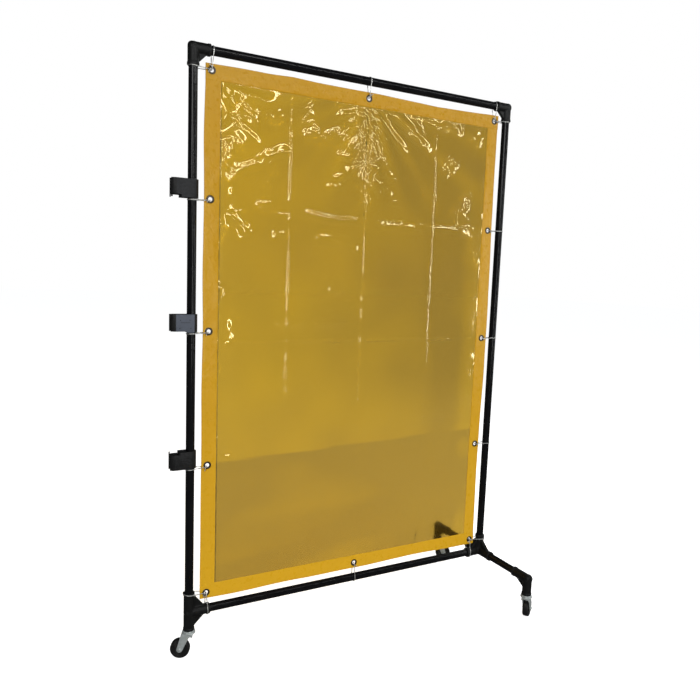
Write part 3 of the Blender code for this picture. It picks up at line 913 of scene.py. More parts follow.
@dataclass(frozen=True)
class Layout:
    """Main lines of the screen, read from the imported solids."""

    left_x: float
    right_x: float
    bottom_z: float
    top_z: float
    leg_y: float

    @classmethod
    def read(cls) -> "Layout":
        """Read the pipes' boxes."""
        boxes = {node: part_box(node) for node in PIPE_NODES}
        middle = {node: (low + high) / 2 for node, (low, high) in boxes.items()}
        front_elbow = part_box("leg_elbow_front")
        elbow_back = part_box("top_joint_left")[1].z - middle["top_rail"].z
        return cls(
            left_x=middle["left_post"].x,
            right_x=middle["right_post"].x,
            bottom_z=middle["bottom_rail"].z,
            top_z=middle["top_rail"].z,
            leg_y=-(front_elbow[0].y + elbow_back),
        )


# ------------------------------------------------------------------ frame


@dataclass(frozen=True)
class Web:
    """A gusset plate between two arms of a joint, with its reach along each."""

    along_a: Vector
    reach_a: float
    along_b: Vector
    reach_b: float


@dataclass
class PipeFrame:
    """Coated pipes and the moulded joints that hold them."""

    layout: Layout
    wardrobe: Wardrobe
    sleeve_radius: float = 0.0174
    collar_radius: float = 0.0187
    collar_length: float = 0.0080
    back: float = 0.0160
    web_thickness: float = 0.012
    voxel: float = 0.0014
    least_arm: float = 0.035

    def build(self) -> None:
        """Build every pipe and joint."""
        for node in PIPE_NODES:
            self.pipe(node)
        lay = self.layout
        up, down, right, left = Z, -Z, X, -X
        centres = {
            "top_joint_left": Vector((lay.left_x, 0, lay.top_z)),
            "top_joint_right": Vector((lay.right_x, 0, lay.top_z)),
            "foot_joint_left": Vector((lay.left_x, 0, lay.bottom_z)),
            "foot_joint_right": Vector((lay.right_x, 0, lay.bottom_z)),
            "leg_elbow_front": Vector((lay.right_x, -lay.leg_y, lay.bottom_z)),
            "leg_elbow_rear": Vector((lay.right_x, lay.leg_y, lay.bottom_z)),
        }
        webs = {
            "top_joint_left": [Web(down, 0.042, right, 0.042)],
            "top_joint_right": [Web(down, 0.042, left, 0.042)],
            "foot_joint_left": [Web(up, 0.058, right, 0.050), Web(down, 0.050, right, 0.050)],
            "foot_joint_right": [
                Web(up, 0.052, left, 0.050), Web(up, 0.050, -Y, 0.058), Web(up, 0.050, Y, 0.058)
            ],
            "leg_elbow_front": [Web(Y, 0.055, down, 0.040)],
            "leg_elbow_rear": [Web(-Y, 0.055, down, 0.040)],
        }
        for node, centre in centres.items():
            self.joint(node, centre, webs[node])

    def pipe(self, node: str) -> None:
        """Build one pipe where its solid is.

        Args:
            node: Name of the pipe's CAD node.
        """
        low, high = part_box(node)
        size = high - low
        axis = max((X, Y, Z), key=lambda direction: size.dot(direction))
        length = size.dot(axis)
        start = (low + high) / 2 - axis * length / 2
        inner = PIPE_RADIUS - PIPE_WALL
        lip = 0.0004
        profile = [
            (PIPE_RADIUS - lip, 0), (PIPE_RADIUS, lip), (PIPE_RADIUS, length - lip),
            (PIPE_RADIUS - lip, length), (inner, length), (inner, 0),
        ]
        obj = mesh_object(f"{node}_pipe", revolve(profile, 64, frame_along(axis, start), closed=True))
        self.wardrobe.dress(obj, PIPE_COATING, FRAME_BODY, [node])

    def joint(self, node: str, centre: Vector, webs: Sequence[Web]) -> None:
        """Build one joint from arms that reach as far as its solid does.

        Args:
            node: Name of the joint's CAD node.
            centre: Where its arms' axes meet.
            webs: Its gusset plates.
        """
        low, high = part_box(node)
        parts, collars = [], []
        for axis in (X, Y, Z):
            for direction, reach in ((axis, (high - centre).dot(axis)), (-axis, (centre - low).dot(axis))):
                if reach < self.least_arm:
                    continue
                place = frame_along(direction, centre)
                parts.append(revolve(self.arm_profile(reach), 48, place))
                collars.append(revolve(self.collar_profile(reach), 64, place, closed=True))
        for web in webs:
            turn = Matrix((web.along_a, web.along_b, web.along_a.cross(web.along_b)))
            place = Matrix.Translation(centre) @ turn.transposed().to_4x4()
            parts.append(prism(self.web_outline(web), place, self.web_thickness))
        obj = moulded(mesh_object(f"{node}_moulding", joined(parts)), self.voxel, 7)
        shell = bmesh.new()
        shell.from_mesh(obj.data)
        whole = joined([shell, *collars])
        whole.to_mesh(obj.data)
        whole.free()
        obj.data.shade_smooth()
        obj.data.set_sharp_from_angle(angle=math.radians(50))
        self.wardrobe.dress(obj, JOINT_PLASTIC, FRAME_BODY, [node])

    def arm_profile(self, reach: float) -> list[Point2]:
        """Return the outside of an arm, rounded behind the centre."""
        radius = self.sleeve_radius
        return [
            (0, -self.back), (0.55 * radius, -self.back), (0.87 * radius, -0.80 * self.back),
            (radius, -0.45 * self.back), (radius, reach - 0.0004), (0, reach - 0.0004),
        ]

    def collar_profile(self, reach: float) -> list[Point2]:
        """Return the rounded ring round an arm's mouth."""
        outer, inner, lip = self.collar_radius, PIPE_RADIUS + 0.0002, 0.0009
        foot = reach - self.collar_length
        return [
            (inner, foot), (self.sleeve_radius - 0.0006, foot - 0.0012), (outer - 0.0004, foot),
            (outer, foot + 0.0006), (outer, reach - lip), (outer - 0.3 * lip, reach - 0.3 * lip),
            (outer - lip, reach), (inner, reach),
        ]

    def web_outline(self, web: Web) -> list[Point2]:
        """Return a gusset's outline, with its root sunk behind the arms' crossing."""
        edge = 0.92 * self.sleeve_radius
        root = -0.3 * self.sleeve_radius
        tips = [(web.reach_a, edge), (edge, web.reach_b)]
        return [(root, root), (web.reach_a, root), *tips, (root, web.reach_b)]


# ------------------------------------------------------------------ castors


@dataclass
class Castor:
    """A zinc-plated swivel castor with a solid black wheel."""

    name: str
    wardrobe: Wardrobe
    place: Matrix
    mouth_z: float
    wheel_radius: float = 0.0325
    wheel_half: float = 0.0110
    tread_half: float = 0.0065
    trail: float = 0.0280
    axle_radius: float = 0.0040
    cheek_inside: float = 0.0122
    cheek_thickness: float = 0.0025
    race_radius: float = 0.0205
    disc_radius: float = 0.0220
    gap: float = 0.0003

    @classmethod
    def read(cls, name: str, joints: Sequence[dict], mouth_z: float, wardrobe: Wardrobe) -> "Castor":
        """Place a castor from its two joints.

        Args:
            name: Stem of the castor's node names.
            joints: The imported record's joints.
            mouth_z: Height of the socket that the stem goes up into.
            wardrobe: Gives its pieces their finishes.

        Returns:
            The castor.
        """
        found = {joint["name"]: Vector(joint["pos_m"]) for joint in joints}
        swivel = found[f"{name}_swivel_turn"]
        axle = found[f"{name}_wheel_spin"]
        heading = math.atan2(axle.y - swivel.y, axle.x - swivel.x)
        place = Matrix.Translation((swivel.x, swivel.y, 0)) @ Matrix.Rotation(heading, 4, "Z")
        return cls(name, wardrobe, place, mouth_z)

    def build(self) -> None:
        """Build the stem, fork, axle and wheel."""
        swivel = f"{self.name}_swivel"
        dress = self.wardrobe.dress
        dress(self.stem(), ZINC, FRAME_BODY, [f"{self.name}_stem"])
        dress(self.fork(), ZINC, swivel, [f"{self.name}_fork"])
        dress(self.axle(), ZINC, swivel, [f"{self.name}_axle"])
        dress(self.wheel(), RUBBER, f"{self.name}_roll", [f"{self.name}_wheel"])

    @property
    def race_bottom(self) -> float:
        """Height of the underside of the fixed race."""
        return self.mouth_z - self.gap - 0.0050

    @property
    def fork_top(self) -> float:
        """Height of the top of the turning race."""
        return self.race_bottom - self.gap

    @property
    def fork_bottom(self) -> float:
        """Height of the underside of the fork's crown."""
        return self.fork_top - 0.0120

    @property
    def axle_place(self) -> Matrix:
        """Local Z along the axle, at the wheel's middle."""
        return self.place @ frame_along(Y, (self.trail, 0, self.wheel_radius))

    def stem(self) -> bpy.types.Object:
        """Build the stem, the fixed race with its rolled lip, and the kingpin."""
        top, low, head = self.mouth_z - self.gap, self.race_bottom, self.fork_bottom - self.gap
        rim = self.race_radius
        profile = [
            (0, self.mouth_z + 0.038), (0.0050, self.mouth_z + 0.038), (0.0060, self.mouth_z + 0.037),
            (0.0060, top), (0.0100, top), (0.0108, top - 0.0006), (rim - 0.0042, top - 0.0007),
            *arc((rim - 0.0028, top - 0.0028), 0.0028, 75, 0, 6),
            (rim, low + 0.0006), (rim - 0.0005, low), (rim - 0.003, low), (0.0045, low),
            (0.0045, head), (0.0085, head), *arc((0.0062, head - 0.0008), 0.0022, 0, -90, 4),
            (0, head - 0.0030),
        ]
        return mesh_object(f"{self.name}_stem_and_race", revolve(profile, 64, self.place))

    def fork(self) -> bpy.types.Object:
        """Build the pressed fork: a turning race over a bent U with tapered cheeks."""
        top, rim = self.fork_top, self.disc_radius
        disc = [
            (0.0048, top), (rim - 0.0030, top), *arc((rim - 0.0016, top - 0.0016), 0.0016, 80, 0, 5),
            (rim, top - 0.0040), (rim - 0.0006, top - 0.0046), (rim - 0.0026, top - 0.0052),
            (rim - 0.0030, top - 0.0070), (rim - 0.0040, top - 0.0080), (0.0048, top - 0.0080),
        ]
        outside = self.cheek_inside + self.cheek_thickness
        crown_top = top - 0.0050
        bend = 0.0040
        low = self.wheel_radius - 0.015
        channel = [(outside, low), (outside, crown_top - bend)]
        channel += arc((outside - bend, crown_top - bend), bend, 0, 90, 6)[1:]
        channel += [(-a, b) for a, b in reversed(channel)]
        inner_bend = bend - self.cheek_thickness
        inner_top = self.fork_bottom
        inside = [(self.cheek_inside, low), (self.cheek_inside, inner_top - inner_bend)]
        inside += arc((self.cheek_inside - inner_bend, inner_top - inner_bend), inner_bend, 0, 90, 4)[1:]
        inside += [(-a, b) for a, b in reversed(inside)]
        along = self.place @ Matrix(((0, 0, 1, 0), (1, 0, 0, 0), (0, 1, 0, 0), (0, 0, 0, 1)))
        fork = mesh_object(f"{self.name}_pressed_fork", prism(channel + inside[::-1], along, 0.12))
        side = self.place @ Matrix.Rotation(math.radians(90), 4, "X")
        carve(fork, "INTERSECT", prism(self.cheek_outline(), side, 0.06))
        bevelled(fork, 0.0005)
        carve(fork, "UNION", revolve(disc, 64, self.place, closed=True), "EXACT")
        drill = revolve([(0, 0.03), (0.0043, 0.03), (0.0043, -0.03), (0, -0.03)], 32, self.axle_place)
        return carve(fork, "DIFFERENCE", drill, "EXACT")

    def cheek_outline(self) -> list[Point2]:
        """Return the fork's side view: broad at the crown, arched in front, round at the axle."""
        top = self.fork_top - 0.0045
        end = arc((self.trail, self.wheel_radius), 0.0095, -158, 12, 14)
        back = [(0.0262, top - 0.0130), *arc((0.0200, top - 0.0040), 0.0040, 0, 90, 4)]
        front = [*arc((-0.0110, top - 0.0040), 0.0040, 90, 180, 4), (-0.0142, top - 0.0110)]
        arch = arc((-0.0080, top - 0.0210), 0.0100, 128, 62, 5)
        return end + back + front + arch

    def axle(self) -> bpy.types.Object:
        """Build the axle bolt, with a domed head at one end and a hexagon nut at the other."""
        face = self.cheek_inside + self.cheek_thickness + self.gap
        radius = self.axle_radius
        dome = arc((0, face + 0.0005), 0.0068, 10, 80, 6)
        squashed = [(r, face + (h - face) * 0.45) for r, h in dome]
        seat = -face - 0.0034
        profile = [(0, seat), (radius - 0.0006, seat), (radius, seat + 0.0006), (radius, face)]
        profile += [(0.0068, face), *squashed, (0, face + 0.0034)]
        nut = revolve(
            [(0, -face - 0.0026), (0.0058, -face - 0.0026), (0.0066, -face - 0.0020),
             (0.0066, -face), (0, -face)],
            6, self.axle_place,
        )
        bolt = revolve(profile, 40, self.axle_place)
        return mesh_object(f"{self.name}_axle_bolt", joined([bolt, nut]), 28)

    def wheel(self) -> bpy.types.Object:
        """Build the wheel, with a raised hub, a dished web and rounded shoulders."""
        bore = self.axle_radius + self.gap
        rim, half = self.wheel_radius, self.wheel_half
        shoulder = [
            (rim - 0.0030, half), (rim - 0.0021, half - 0.0002), (rim - 0.0011, half - 0.0011),
            (rim - 0.0003, half - 0.0027), (rim - 0.00005, self.tread_half - 0.0004), (rim, 0.0040),
        ]
        side = [
            (bore, 0.0118), (0.0112, 0.0118), (0.0120, 0.0112), (0.0126, 0.0086), (0.0134, 0.0080),
            (0.0228, 0.0080), (0.0238, 0.0084), (0.0245, half - 0.0006), (0.0252, half), *shoulder,
        ]
        profile = side + [(radius, -height) for radius, height in reversed(side)]
        turned = revolve(profile, 96, self.axle_place, closed=True)
        return mesh_object(f"{self.name}_solid_wheel", turned)


# ------------------------------------------------------------------ curtain


@dataclass(frozen=True)
class Wrinkle:
    """A raised line in the film. Its ends are (right, down) from the curtain's top left corner."""

    start: Point2
    end: Point2
    depth: float = 0.0022
    width: float = 0.0080
    ripple: float = 0.30


@dataclass(frozen=True)
class Fan:
    """Wrinkles that spread from one place, as where a tie pulls on the film."""

    centre: Point2
    first_degrees: float
    last_degrees: float
    count: int
    reach: tuple[float, float]
    depth: float
    seed: int

    def wrinkles(self) -> list[Wrinkle]:
        """Return the fan's wrinkles, with its angles measured downward from the right."""
        draw = np.random.default_rng(self.seed)
        made = []
        for index in range(self.count):
            share = (index + draw.uniform(0.2, 0.8)) / self.count
            angle = math.radians(self.first_degrees + (self.last_degrees - self.first_degrees) * share)
            near, far = draw.uniform(0.02, 0.05), draw.uniform(*self.reach)
            direction = (math.cos(angle), math.sin(angle))
            start = tuple(c + near * d for c, d in zip(self.centre, direction))
            end = tuple(c + far * d for c, d in zip(self.centre, direction))
            made.append(Wrinkle(start, end, self.depth * draw.uniform(0.6, 1.2), draw.uniform(0.007, 0.011)))
        return made


WRINKLES = (
    Wrinkle((0.05, 0.050), (0.23, 0.105), 0.0060, 0.014),
    Wrinkle((0.05, 0.085), (0.14, 0.118), 0.0040, 0.010),
    Wrinkle((0.07, 0.110), (0.19, 0.170), 0.0056, 0.014),
    Wrinkle((0.05, 0.165), (0.20, 0.222), 0.0060, 0.015),
    Wrinkle((0.20, 0.222), (0.06, 0.240), 0.0050, 0.012),
    Wrinkle((0.30, 0.222), (0.16, 0.290), 0.0072, 0.016, 0.25),
    Wrinkle((0.18, 0.282), (0.07, 0.340), 0.0058, 0.013, 0.25),
    Wrinkle((0.33, 0.163), (0.40, 0.166), 0.0034, 0.010),
    Wrinkle((0.41, 0.170), (0.47, 0.146), 0.0034, 0.010),
    Wrinkle((0.62, 0.045), (0.84, 0.158), 0.0070, 0.016, 0.15),
    Wrinkle((0.66, 0.045), (0.78, 0.110), 0.0048, 0.012),
    Wrinkle((0.60, 0.065), (0.76, 0.200), 0.0070, 0.015, 0.12),
    Wrinkle((0.76, 0.045), (0.82, 0.120), 0.0046, 0.012),
    Wrinkle((0.80, 0.055), (0.91, 0.097), 0.0052, 0.013),
    Wrinkle((0.88, 0.068), (1.00, 0.086), 0.0050, 0.013),
    Wrinkle((0.68, 0.070), (0.85, 0.192), 0.0038, 0.009),
    Wrinkle((0.74, 0.120), (0.86, 0.165), 0.0050, 0.012),
    Wrinkle((0.60, 0.205), (0.67, 0.238), 0.0044, 0.011),
    Wrinkle((0.65, 0.245), (0.71, 0.298), 0.0044, 0.011),
    Wrinkle((0.45, 0.215), (0.53, 0.235), 0.0050, 0.012),
    Wrinkle((0.47, 0.245), (0.51, 0.290), 0.0040, 0.011),
    Wrinkle((0.44, 0.310), (0.53, 0.280), 0.0044, 0.011),
    Wrinkle((0.41, 0.345), (0.50, 0.325), 0.0040, 0.010),
    Wrinkle((0.07, 0.445), (0.175, 0.515), 0.0080, 0.015),
    Wrinkle((0.31, 0.425), (0.57, 0.446), 0.0044, 0.012, 0.06),
    Wrinkle((0.17, 0.405), (0.24, 0.410), 0.0044, 0.010),
    Wrinkle((0.23, 0.495), (0.29, 0.513), 0.0044, 0.010),
    Wrinkle((0.38, 0.500), (0.49, 0.524), 0.0048, 0.013, 0.10),
    Wrinkle((0.50, 0.526), (0.56, 0.538), 0.0048, 0.012, 0.10),
    Wrinkle((0.05, 0.670), (0.07, 0.740), 0.0048, 0.010),
    Wrinkle((0.44, 0.680), (0.51, 0.688), 0.0052, 0.011),
    Wrinkle((0.24, 0.802), (0.37, 0.800), 0.0058, 0.011),
    Wrinkle((0.38, 0.798), (0.53, 0.804), 0.0050, 0.010),
    Wrinkle((0.61, 0.446), (0.85, 0.462), 0.0044, 0.012, 0.06),
    Wrinkle((0.83, 0.449), (1.06, 0.455), 0.0040, 0.011, 0.04),
    Wrinkle((0.62, 0.300), (0.70, 0.345), 0.0040, 0.010),
    Wrinkle((0.66, 0.360), (0.74, 0.372), 0.0040, 0.010),
)
FANS = (
    Fan((0.05, 0.05), 12, 72, 5, (0.10, 0.20), 0.0034, 11),
    Fan((0.577, 0.05), 20, 160, 13, (0.09, 0.20), 0.0040, 23),
    Fan((0.577, 0.22), 30, 150, 9, (0.06, 0.16), 0.0034, 29),
    Fan((0.05, 0.409), -50, 60, 5, (0.07, 0.14), 0.0030, 37),
    Fan((0.05, 0.825), -55, 55, 4, (0.06, 0.11), 0.0022, 41),
    Fan((0.05, 1.267), -50, 50, 3, (0.06, 0.12), 0.0020, 43),
    Fan((1.11, 0.05), 110, 170, 4, (0.08, 0.14), 0.0016, 47),
    Fan((0.588, 1.68), 200, 340, 4, (0.06, 0.11), 0.0014, 61),
)


@dataclass(frozen=True)
class CurtainForm:
    """Shape of the hung curtain: how far each place of the flat cut stands off its plane."""

    left: float
    right: float
    bottom: float
    top: float
    hem: float
    fold_depth: float = 0.0020
    fold_width: float = 0.0036
    long_glints: tuple[tuple[Point2, ...], ...] = (
        ((1.20, 1.38), (1.54, 1.80)),
        ((1.12, 1.19), (1.30, 1.42), (0.86, 0.93)),
        ((1.22, 1.30), (1.36, 1.44)),
    )
    billow: float = 0.0060
    buckle_depth: float = 0.0100
    buckle_height: float = 0.470
    hem_hold: float = 0.10

    @classmethod
    def read(cls) -> "CurtainForm":
        """Read the size of the cut from the hem's solids."""
        low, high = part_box("hem_bottom"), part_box("hem_top")
        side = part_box("hem_left")
        return cls(low[0].x, high[1].x, low[0].z, high[1].z, side[1].x - side[0].x)

    @property
    def width(self) -> float:
        """Width of the cut."""
        return self.right - self.left

    @property
    def height(self) -> float:
        """Height of the cut."""
        return self.top - self.bottom

    def folds(self) -> tuple[list[float], list[float]]:
        """Return where the packing folds run: x of the upright ones, z of the level ones."""
        shares = (0.25, 0.50, 0.75)
        upright = [self.left + self.width * share for share in shares]
        level = [self.bottom + self.height * share for share in shares]
        return upright, level

    def edge_distance(self, x: np.ndarray, z: np.ndarray) -> np.ndarray:
        """Return the distance to the nearest outer edge."""
        across = np.minimum(x - self.left, self.right - x)
        return np.minimum(across, np.minimum(z - self.bottom, self.top - z))

    def crumple(self, x: np.ndarray, z: np.ndarray) -> np.ndarray:
        """Return how crumpled the film is at each place, from 0 to 1.

        Args:
            x: Places across.
            z: Heights, in the same shape as x.

        Returns:
            The crumple at each place.
        """
        upright, level = self.folds()
        near_fold = np.zeros_like(x)
        for fold in upright:
            near_fold = np.maximum(near_fold, 0.45 * np.exp(-(((x - fold) / 0.006) ** 2)))
        for fold in level:
            near_fold = np.maximum(near_fold, 0.45 * np.exp(-(((z - fold) / 0.006) ** 2)))
        patches = smoothstep(soft_noise(x, z, 0.10, 3.7) * 2.2 + 0.1)
        down = self.top - z
        head = np.exp(-((down / 0.45) ** 2))
        middle = np.exp(-(((x - upright[1]) / 0.045) ** 2)) * smoothstep((0.46 - down) / 0.3)
        edge = np.exp(-np.abs(self.edge_distance(x, z) - self.hem) / 0.008) * (0.5 + 0.3 * head)
        near_left = smoothstep((self.left + 0.2 - x) / 0.1)
        edge *= np.maximum(near_left, 0.6 * smoothstep((z - self.top + 0.12) / 0.05))
        return np.clip(near_fold * (0.25 + 0.75 * patches) * (0.4 + 0.6 * head) + 0.9 * middle
                       + edge * patches + 0.35 * head * patches, 0, 1)

    def painted_shade_and_seam(self, x: np.ndarray, z: np.ndarray) -> np.ndarray:
        """Return how deep the film's colour is at each place: painted shade and painted reflection, random
        tone, and the dark seam.

        Args:
            x: Places across.
            z: Heights, in the same shape as x.

        Returns:
            The tone, from 0 to 1 in the film and above 1 along the seam beside the hem.
        """
        across, upward = (x - self.left) / self.width, (z - self.bottom) / self.height
        tone = self.painted_side_shade(across, upward) + self.painted_foot_shade(across, upward)
        tone += self.painted_buckle_shade(across, z)
        # Painted shade of folds: soft streaks that fan out from the top middle. The last noise term is random
        # tone.
        angle = np.arctan2(self.top - z, x - (self.left + self.right) / 2)
        streaks = soft_noise(angle, 0 * z, 0.16, 6.2) * smoothstep((upward - 0.70) / 0.2)
        tone += 0.16 + 0.35 * streaks + 0.22 * soft_noise(x, z, 0.17, 9.9)
        seam_middle, seam_width = self.hem + 0.002, 0.0018
        seam = np.exp(-(((self.edge_distance(x, z) - seam_middle) / seam_width) ** 2))
        seam *= (0.75 + 0.5 * soft_noise(x, z, 0.03, 12.0)) * smoothstep((0.8 - across) / 0.3)
        return np.clip(np.clip(tone, 0, 0.96) + 1.6 * seam, 0, 2)

    def painted_side_shade(self, across: np.ndarray, upward: np.ndarray) -> np.ndarray:
        """Return painted shade that deepens to the right, with a painted darker band and a painted paler
        margin.

        Args:
            across: Share of the width from the left.
            upward: Share of the height from the foot, in the same shape.

        Returns:
            The tone at each place.
        """
        # Painted shade that deepens to the right, standing in for reflections in the buckled film.
        broad = smoothstep((across - 0.15 + 0.35 * (upward - 0.55)) / 0.75)
        tone = 0.72 * broad * smoothstep(upward / 0.55)
        # Painted shade: a darker upright band. Painted light along the right margin.
        painted_shade_band = np.exp(-(((across - 0.81) / 0.055) ** 2))
        tone += 0.22 * painted_shade_band * smoothstep((0.95 - upward) / 0.2)
        painted_light_margin = smoothstep((across - 0.87) / 0.06)
        return tone - 0.40 * painted_light_margin * smoothstep((0.85 - upward) / 0.3)

    def painted_foot_shade(self, across: np.ndarray, upward: np.ndarray) -> np.ndarray:
        """Return painted shade over the film's lower part, strongest beside the two hems.

        Args:
            across: Share of the width from the left.
            upward: Share of the height from the foot, in the same shape.

        Returns:
            The tone at each place.
        """
        # Painted shade that darkens the lower film and two patches beside the hems.
        tone = 0.28 * smoothstep((0.46 - upward) / 0.22)
        tone += 0.22 * smoothstep((0.165 - upward) / 0.04) * smoothstep((upward - 0.06) / 0.05)
        near_left = np.exp(-((across / 0.13) ** 2)) * np.exp(-(((upward - 0.19) / 0.035) ** 2))
        near_right = smoothstep((across - 0.5) / 0.25) * smoothstep((0.25 - upward) / 0.05)
        return tone + 0.85 * near_left + 0.35 * near_right

    def painted_buckle_shade(self, across: np.ndarray, z: np.ndarray) -> np.ndarray:
        """Return painted shade under the long buckle and along the sweeping fold below it.

        Args:
            across: Share of the width from the left.
            z: Heights, in the same shape.

        Returns:
            The tone at each place.
        """
        # Painted shade under the buckle's crest and along the sweeping fold.
        below = self.bottom + self.buckle_height + 0.030 * across - z
        fading = np.maximum(below, 0)
        tone = 0.45 * smoothstep(below / 0.02) * np.exp(-fading / 0.60)
        tone += 0.75 * smoothstep(below / 0.006) * np.exp(-fading / 0.022)
        return tone + 0.40 * np.exp(-(((z - self.sweep_height(across)) / 0.045) ** 2))

    def sweep_height(self, across: np.ndarray) -> np.ndarray:
        """Return the height of the fold that sweeps up to the right across the foot."""
        return self.bottom + 0.06 + 0.27 * across ** 1.6

    def depth(self, x: np.ndarray, z: np.ndarray) -> np.ndarray:
        """Return the offset along Y of each place of the cut.

        Args:
            x: Places across.
            z: Heights, in the same shape as x.

        Returns:
            The offsets, negative towards the front.
        """
        free = smoothstep((self.edge_distance(x, z) - 0.5 * self.hem) / self.hem_hold)
        held = 0.22 + 0.78 * free
        y = self.billow * held * soft_noise(x, z, 0.42, 1.3)
        y += 0.35 * self.billow * held * soft_noise(x, z, 0.16, 5.1)
        y += self.fold_relief(x, z) * (0.35 + 0.65 * free)
        y += self.wrinkle_relief(x, z) * smoothstep((self.edge_distance(x, z) - 0.6 * self.hem) / 0.03)
        y += self.buckles(x, z) * free
        near_hem = np.exp(-np.abs(self.edge_distance(x, z) - self.hem) / 0.014)
        y += 0.0011 * near_hem * soft_noise(x, z, 0.022, 8.4)
        return y

    def fold_relief(self, x: np.ndarray, z: np.ndarray) -> np.ndarray:
        """Return the sharp ridges and valleys that folding the curtain has left.

        Args:
            x: Places across.
            z: Heights, in the same shape as x.

        Returns:
            The relief at each place, negative towards the front.
        """
        upright, level = self.folds()
        relief = np.zeros_like(x)
        for index, fold in enumerate(upright):
            wander = 0.002 * soft_noise(0 * x, z, 0.12, 20.0 + index)
            ridge = np.exp(-np.abs(x - fold - wander) / self.fold_width)
            along = 0.42 + 1.9 * soft_noise(0 * x, z, 0.030, 30.0 + index)
            for low, high in self.long_glints[index]:
                held = smoothstep((z - low) / 0.03) * smoothstep((high - z) / 0.03)
                along = along + (1.0 - along) * held
            relief += (-1) ** index * self.fold_depth * ridge * np.clip(along, 0.1, 1.3)
        for index, fold in enumerate(level):
            wander = 0.003 * soft_noise(x, 0 * z, 0.15, 40.0 + index)
            ridge = np.exp(-np.abs(z - fold - wander) / self.fold_width)
            along = 0.50 + 1.3 * soft_noise(x, 0 * z, 0.055, 50.0 + index)
            relief -= (-1) ** index * 0.9 * self.fold_depth * ridge * np.clip(along, 0.1, 1.3)
        return -relief

    def wrinkle_relief(self, x: np.ndarray, z: np.ndarray) -> np.ndarray:
        """Return the raised lines of the single wrinkles and of the fans.

        Args:
            x: Places across.
            z: Heights, in the same shape as x.

        Returns:
            The relief at each place, negative towards the front.
        """
        relief = np.zeros_like(x)
        right, down = x - self.left, self.top - z
        for number, wrinkle in enumerate([*WRINKLES, *(w for fan in FANS for w in fan.wrinkles())]):
            run = np.array(wrinkle.end) - np.array(wrinkle.start)
            length = float(np.hypot(*run))
            run /= length
            along = (right - wrinkle.start[0]) * run[0] + (down - wrinkle.start[1]) * run[1]
            aside = (down - wrinkle.start[1]) * run[0] - (right - wrinkle.start[0]) * run[1]
            near = (np.abs(aside) < 5 * wrinkle.width) & (along > -0.02) & (along < length + 0.02)
            share = along[near] / length
            sway = 0.35 * wrinkle.width * np.sin(5.0 * share + number)
            waist = 1 + wrinkle.ripple * np.sin(14.0 * share + 2.1 * number)
            taper = smoothstep(share / 0.22) * smoothstep((1 - share) / 0.30)
            cross = np.exp(-(((aside[near] - sway) / (wrinkle.width * waist)) ** 2))
            relief[near] -= wrinkle.depth * taper * cross
        return relief

    def buckles(self, x: np.ndarray, z: np.ndarray) -> np.ndarray:
        """Return the long soft folds low in the film and the pouch under the top left of the hem.

        Args:
            x: Places across.
            z: Heights, in the same shape as x.

        Returns:
            The relief at each place, negative towards the front.
        """
        across = (x - self.left) / self.width
        crest = self.bottom + self.buckle_height + 0.030 * across + 0.006 * np.sin(9 * across)
        above = z - crest
        slope = np.where(above > 0, above / 0.20, -above / 0.055)
        strength = 0.75 + 0.35 * np.sin(5.5 * across + 0.6)
        y = -self.buckle_depth * strength * np.exp(-slope)
        y += 0.0060 * np.exp(-(((z - self.sweep_height(across)) / 0.07) ** 2))
        right, down = x - self.left, self.top - z
        y -= 0.0075 * np.exp(-(((right - 0.16) / 0.07) ** 2) - ((down - 0.075) / 0.022) ** 2)
        return y

    def drift(self, x: np.ndarray, z: np.ndarray) -> tuple[np.ndarray, np.ndarray]:
        """Return how far the hem's outer edges wander in the curtain's own plane.

        Args:
            x: Places across.
            z: Heights, in the same shape as x.

        Returns:
            The shift along X and the shift along Z.
        """
        def outer(distance: np.ndarray) -> np.ndarray:
            """Return 1 at an outer edge, easing to 0 at the hem's inner edge."""
            return smoothstep(1 - distance / self.hem)

        across = (x - self.left) / self.width
        upward = (z - self.bottom) / self.height
        kink_left = np.clip(1 - np.abs(across - 0.25) / 0.07, 0, 1)
        kink_right = np.clip(1 - np.abs(across - 0.75) / 0.22, 0, 1)
        sag = 0.0024 * soft_noise(x, 0 * z, 0.16, 70.0)
        dz = outer(self.top - z) * (0.0030 * kink_left - 0.0065 * kink_right + sag)
        rise = 0.0040 * kink_right + 0.0022 * soft_noise(x, 0 * z, 0.18, 71.0)
        dz += outer(z - self.bottom) * rise
        dx = outer(x - self.left) * 0.0026 * soft_noise(0 * x, z, 0.20, 72.0)
        dx -= outer(self.right - x) * (0.0026 * soft_noise(0 * x, z, 0.20, 73.0) + 0.003 * np.sin(9 * upward))
        return dx, dz

    def surface(self, x: np.ndarray, z: np.ndarray) -> np.ndarray:
        """Return the hung place of each (x, z) of the flat cut, as an (n, 3) array."""
        dx, dz = self.drift(x, z)
        return np.stack([x + dx, self.depth(x, z), z + dz], axis=-1)


def graded(low: float, high: float, marks: Sequence[float], coarse: float, fine: float) -> np.ndarray:
    """Return steps from low to high that grow finer near each mark.

    Args:
        low: First place.
        high: Last place.
        marks: Places where the steps are finest.
        coarse: Largest step.
        fine: Smallest step.

    Returns:
        The places.
    """
    reach = 0.024
    steps = [low]
    while steps[-1] < high:
        nearest = min(abs(steps[-1] - mark) for mark in marks)
        ease = min(1.0, nearest / reach)
        steps.append(steps[-1] + fine + (coarse - fine) * ease * ease)
    spread = np.array(steps)
    return low + (spread - low) * (high - low) / (spread[-1] - low)


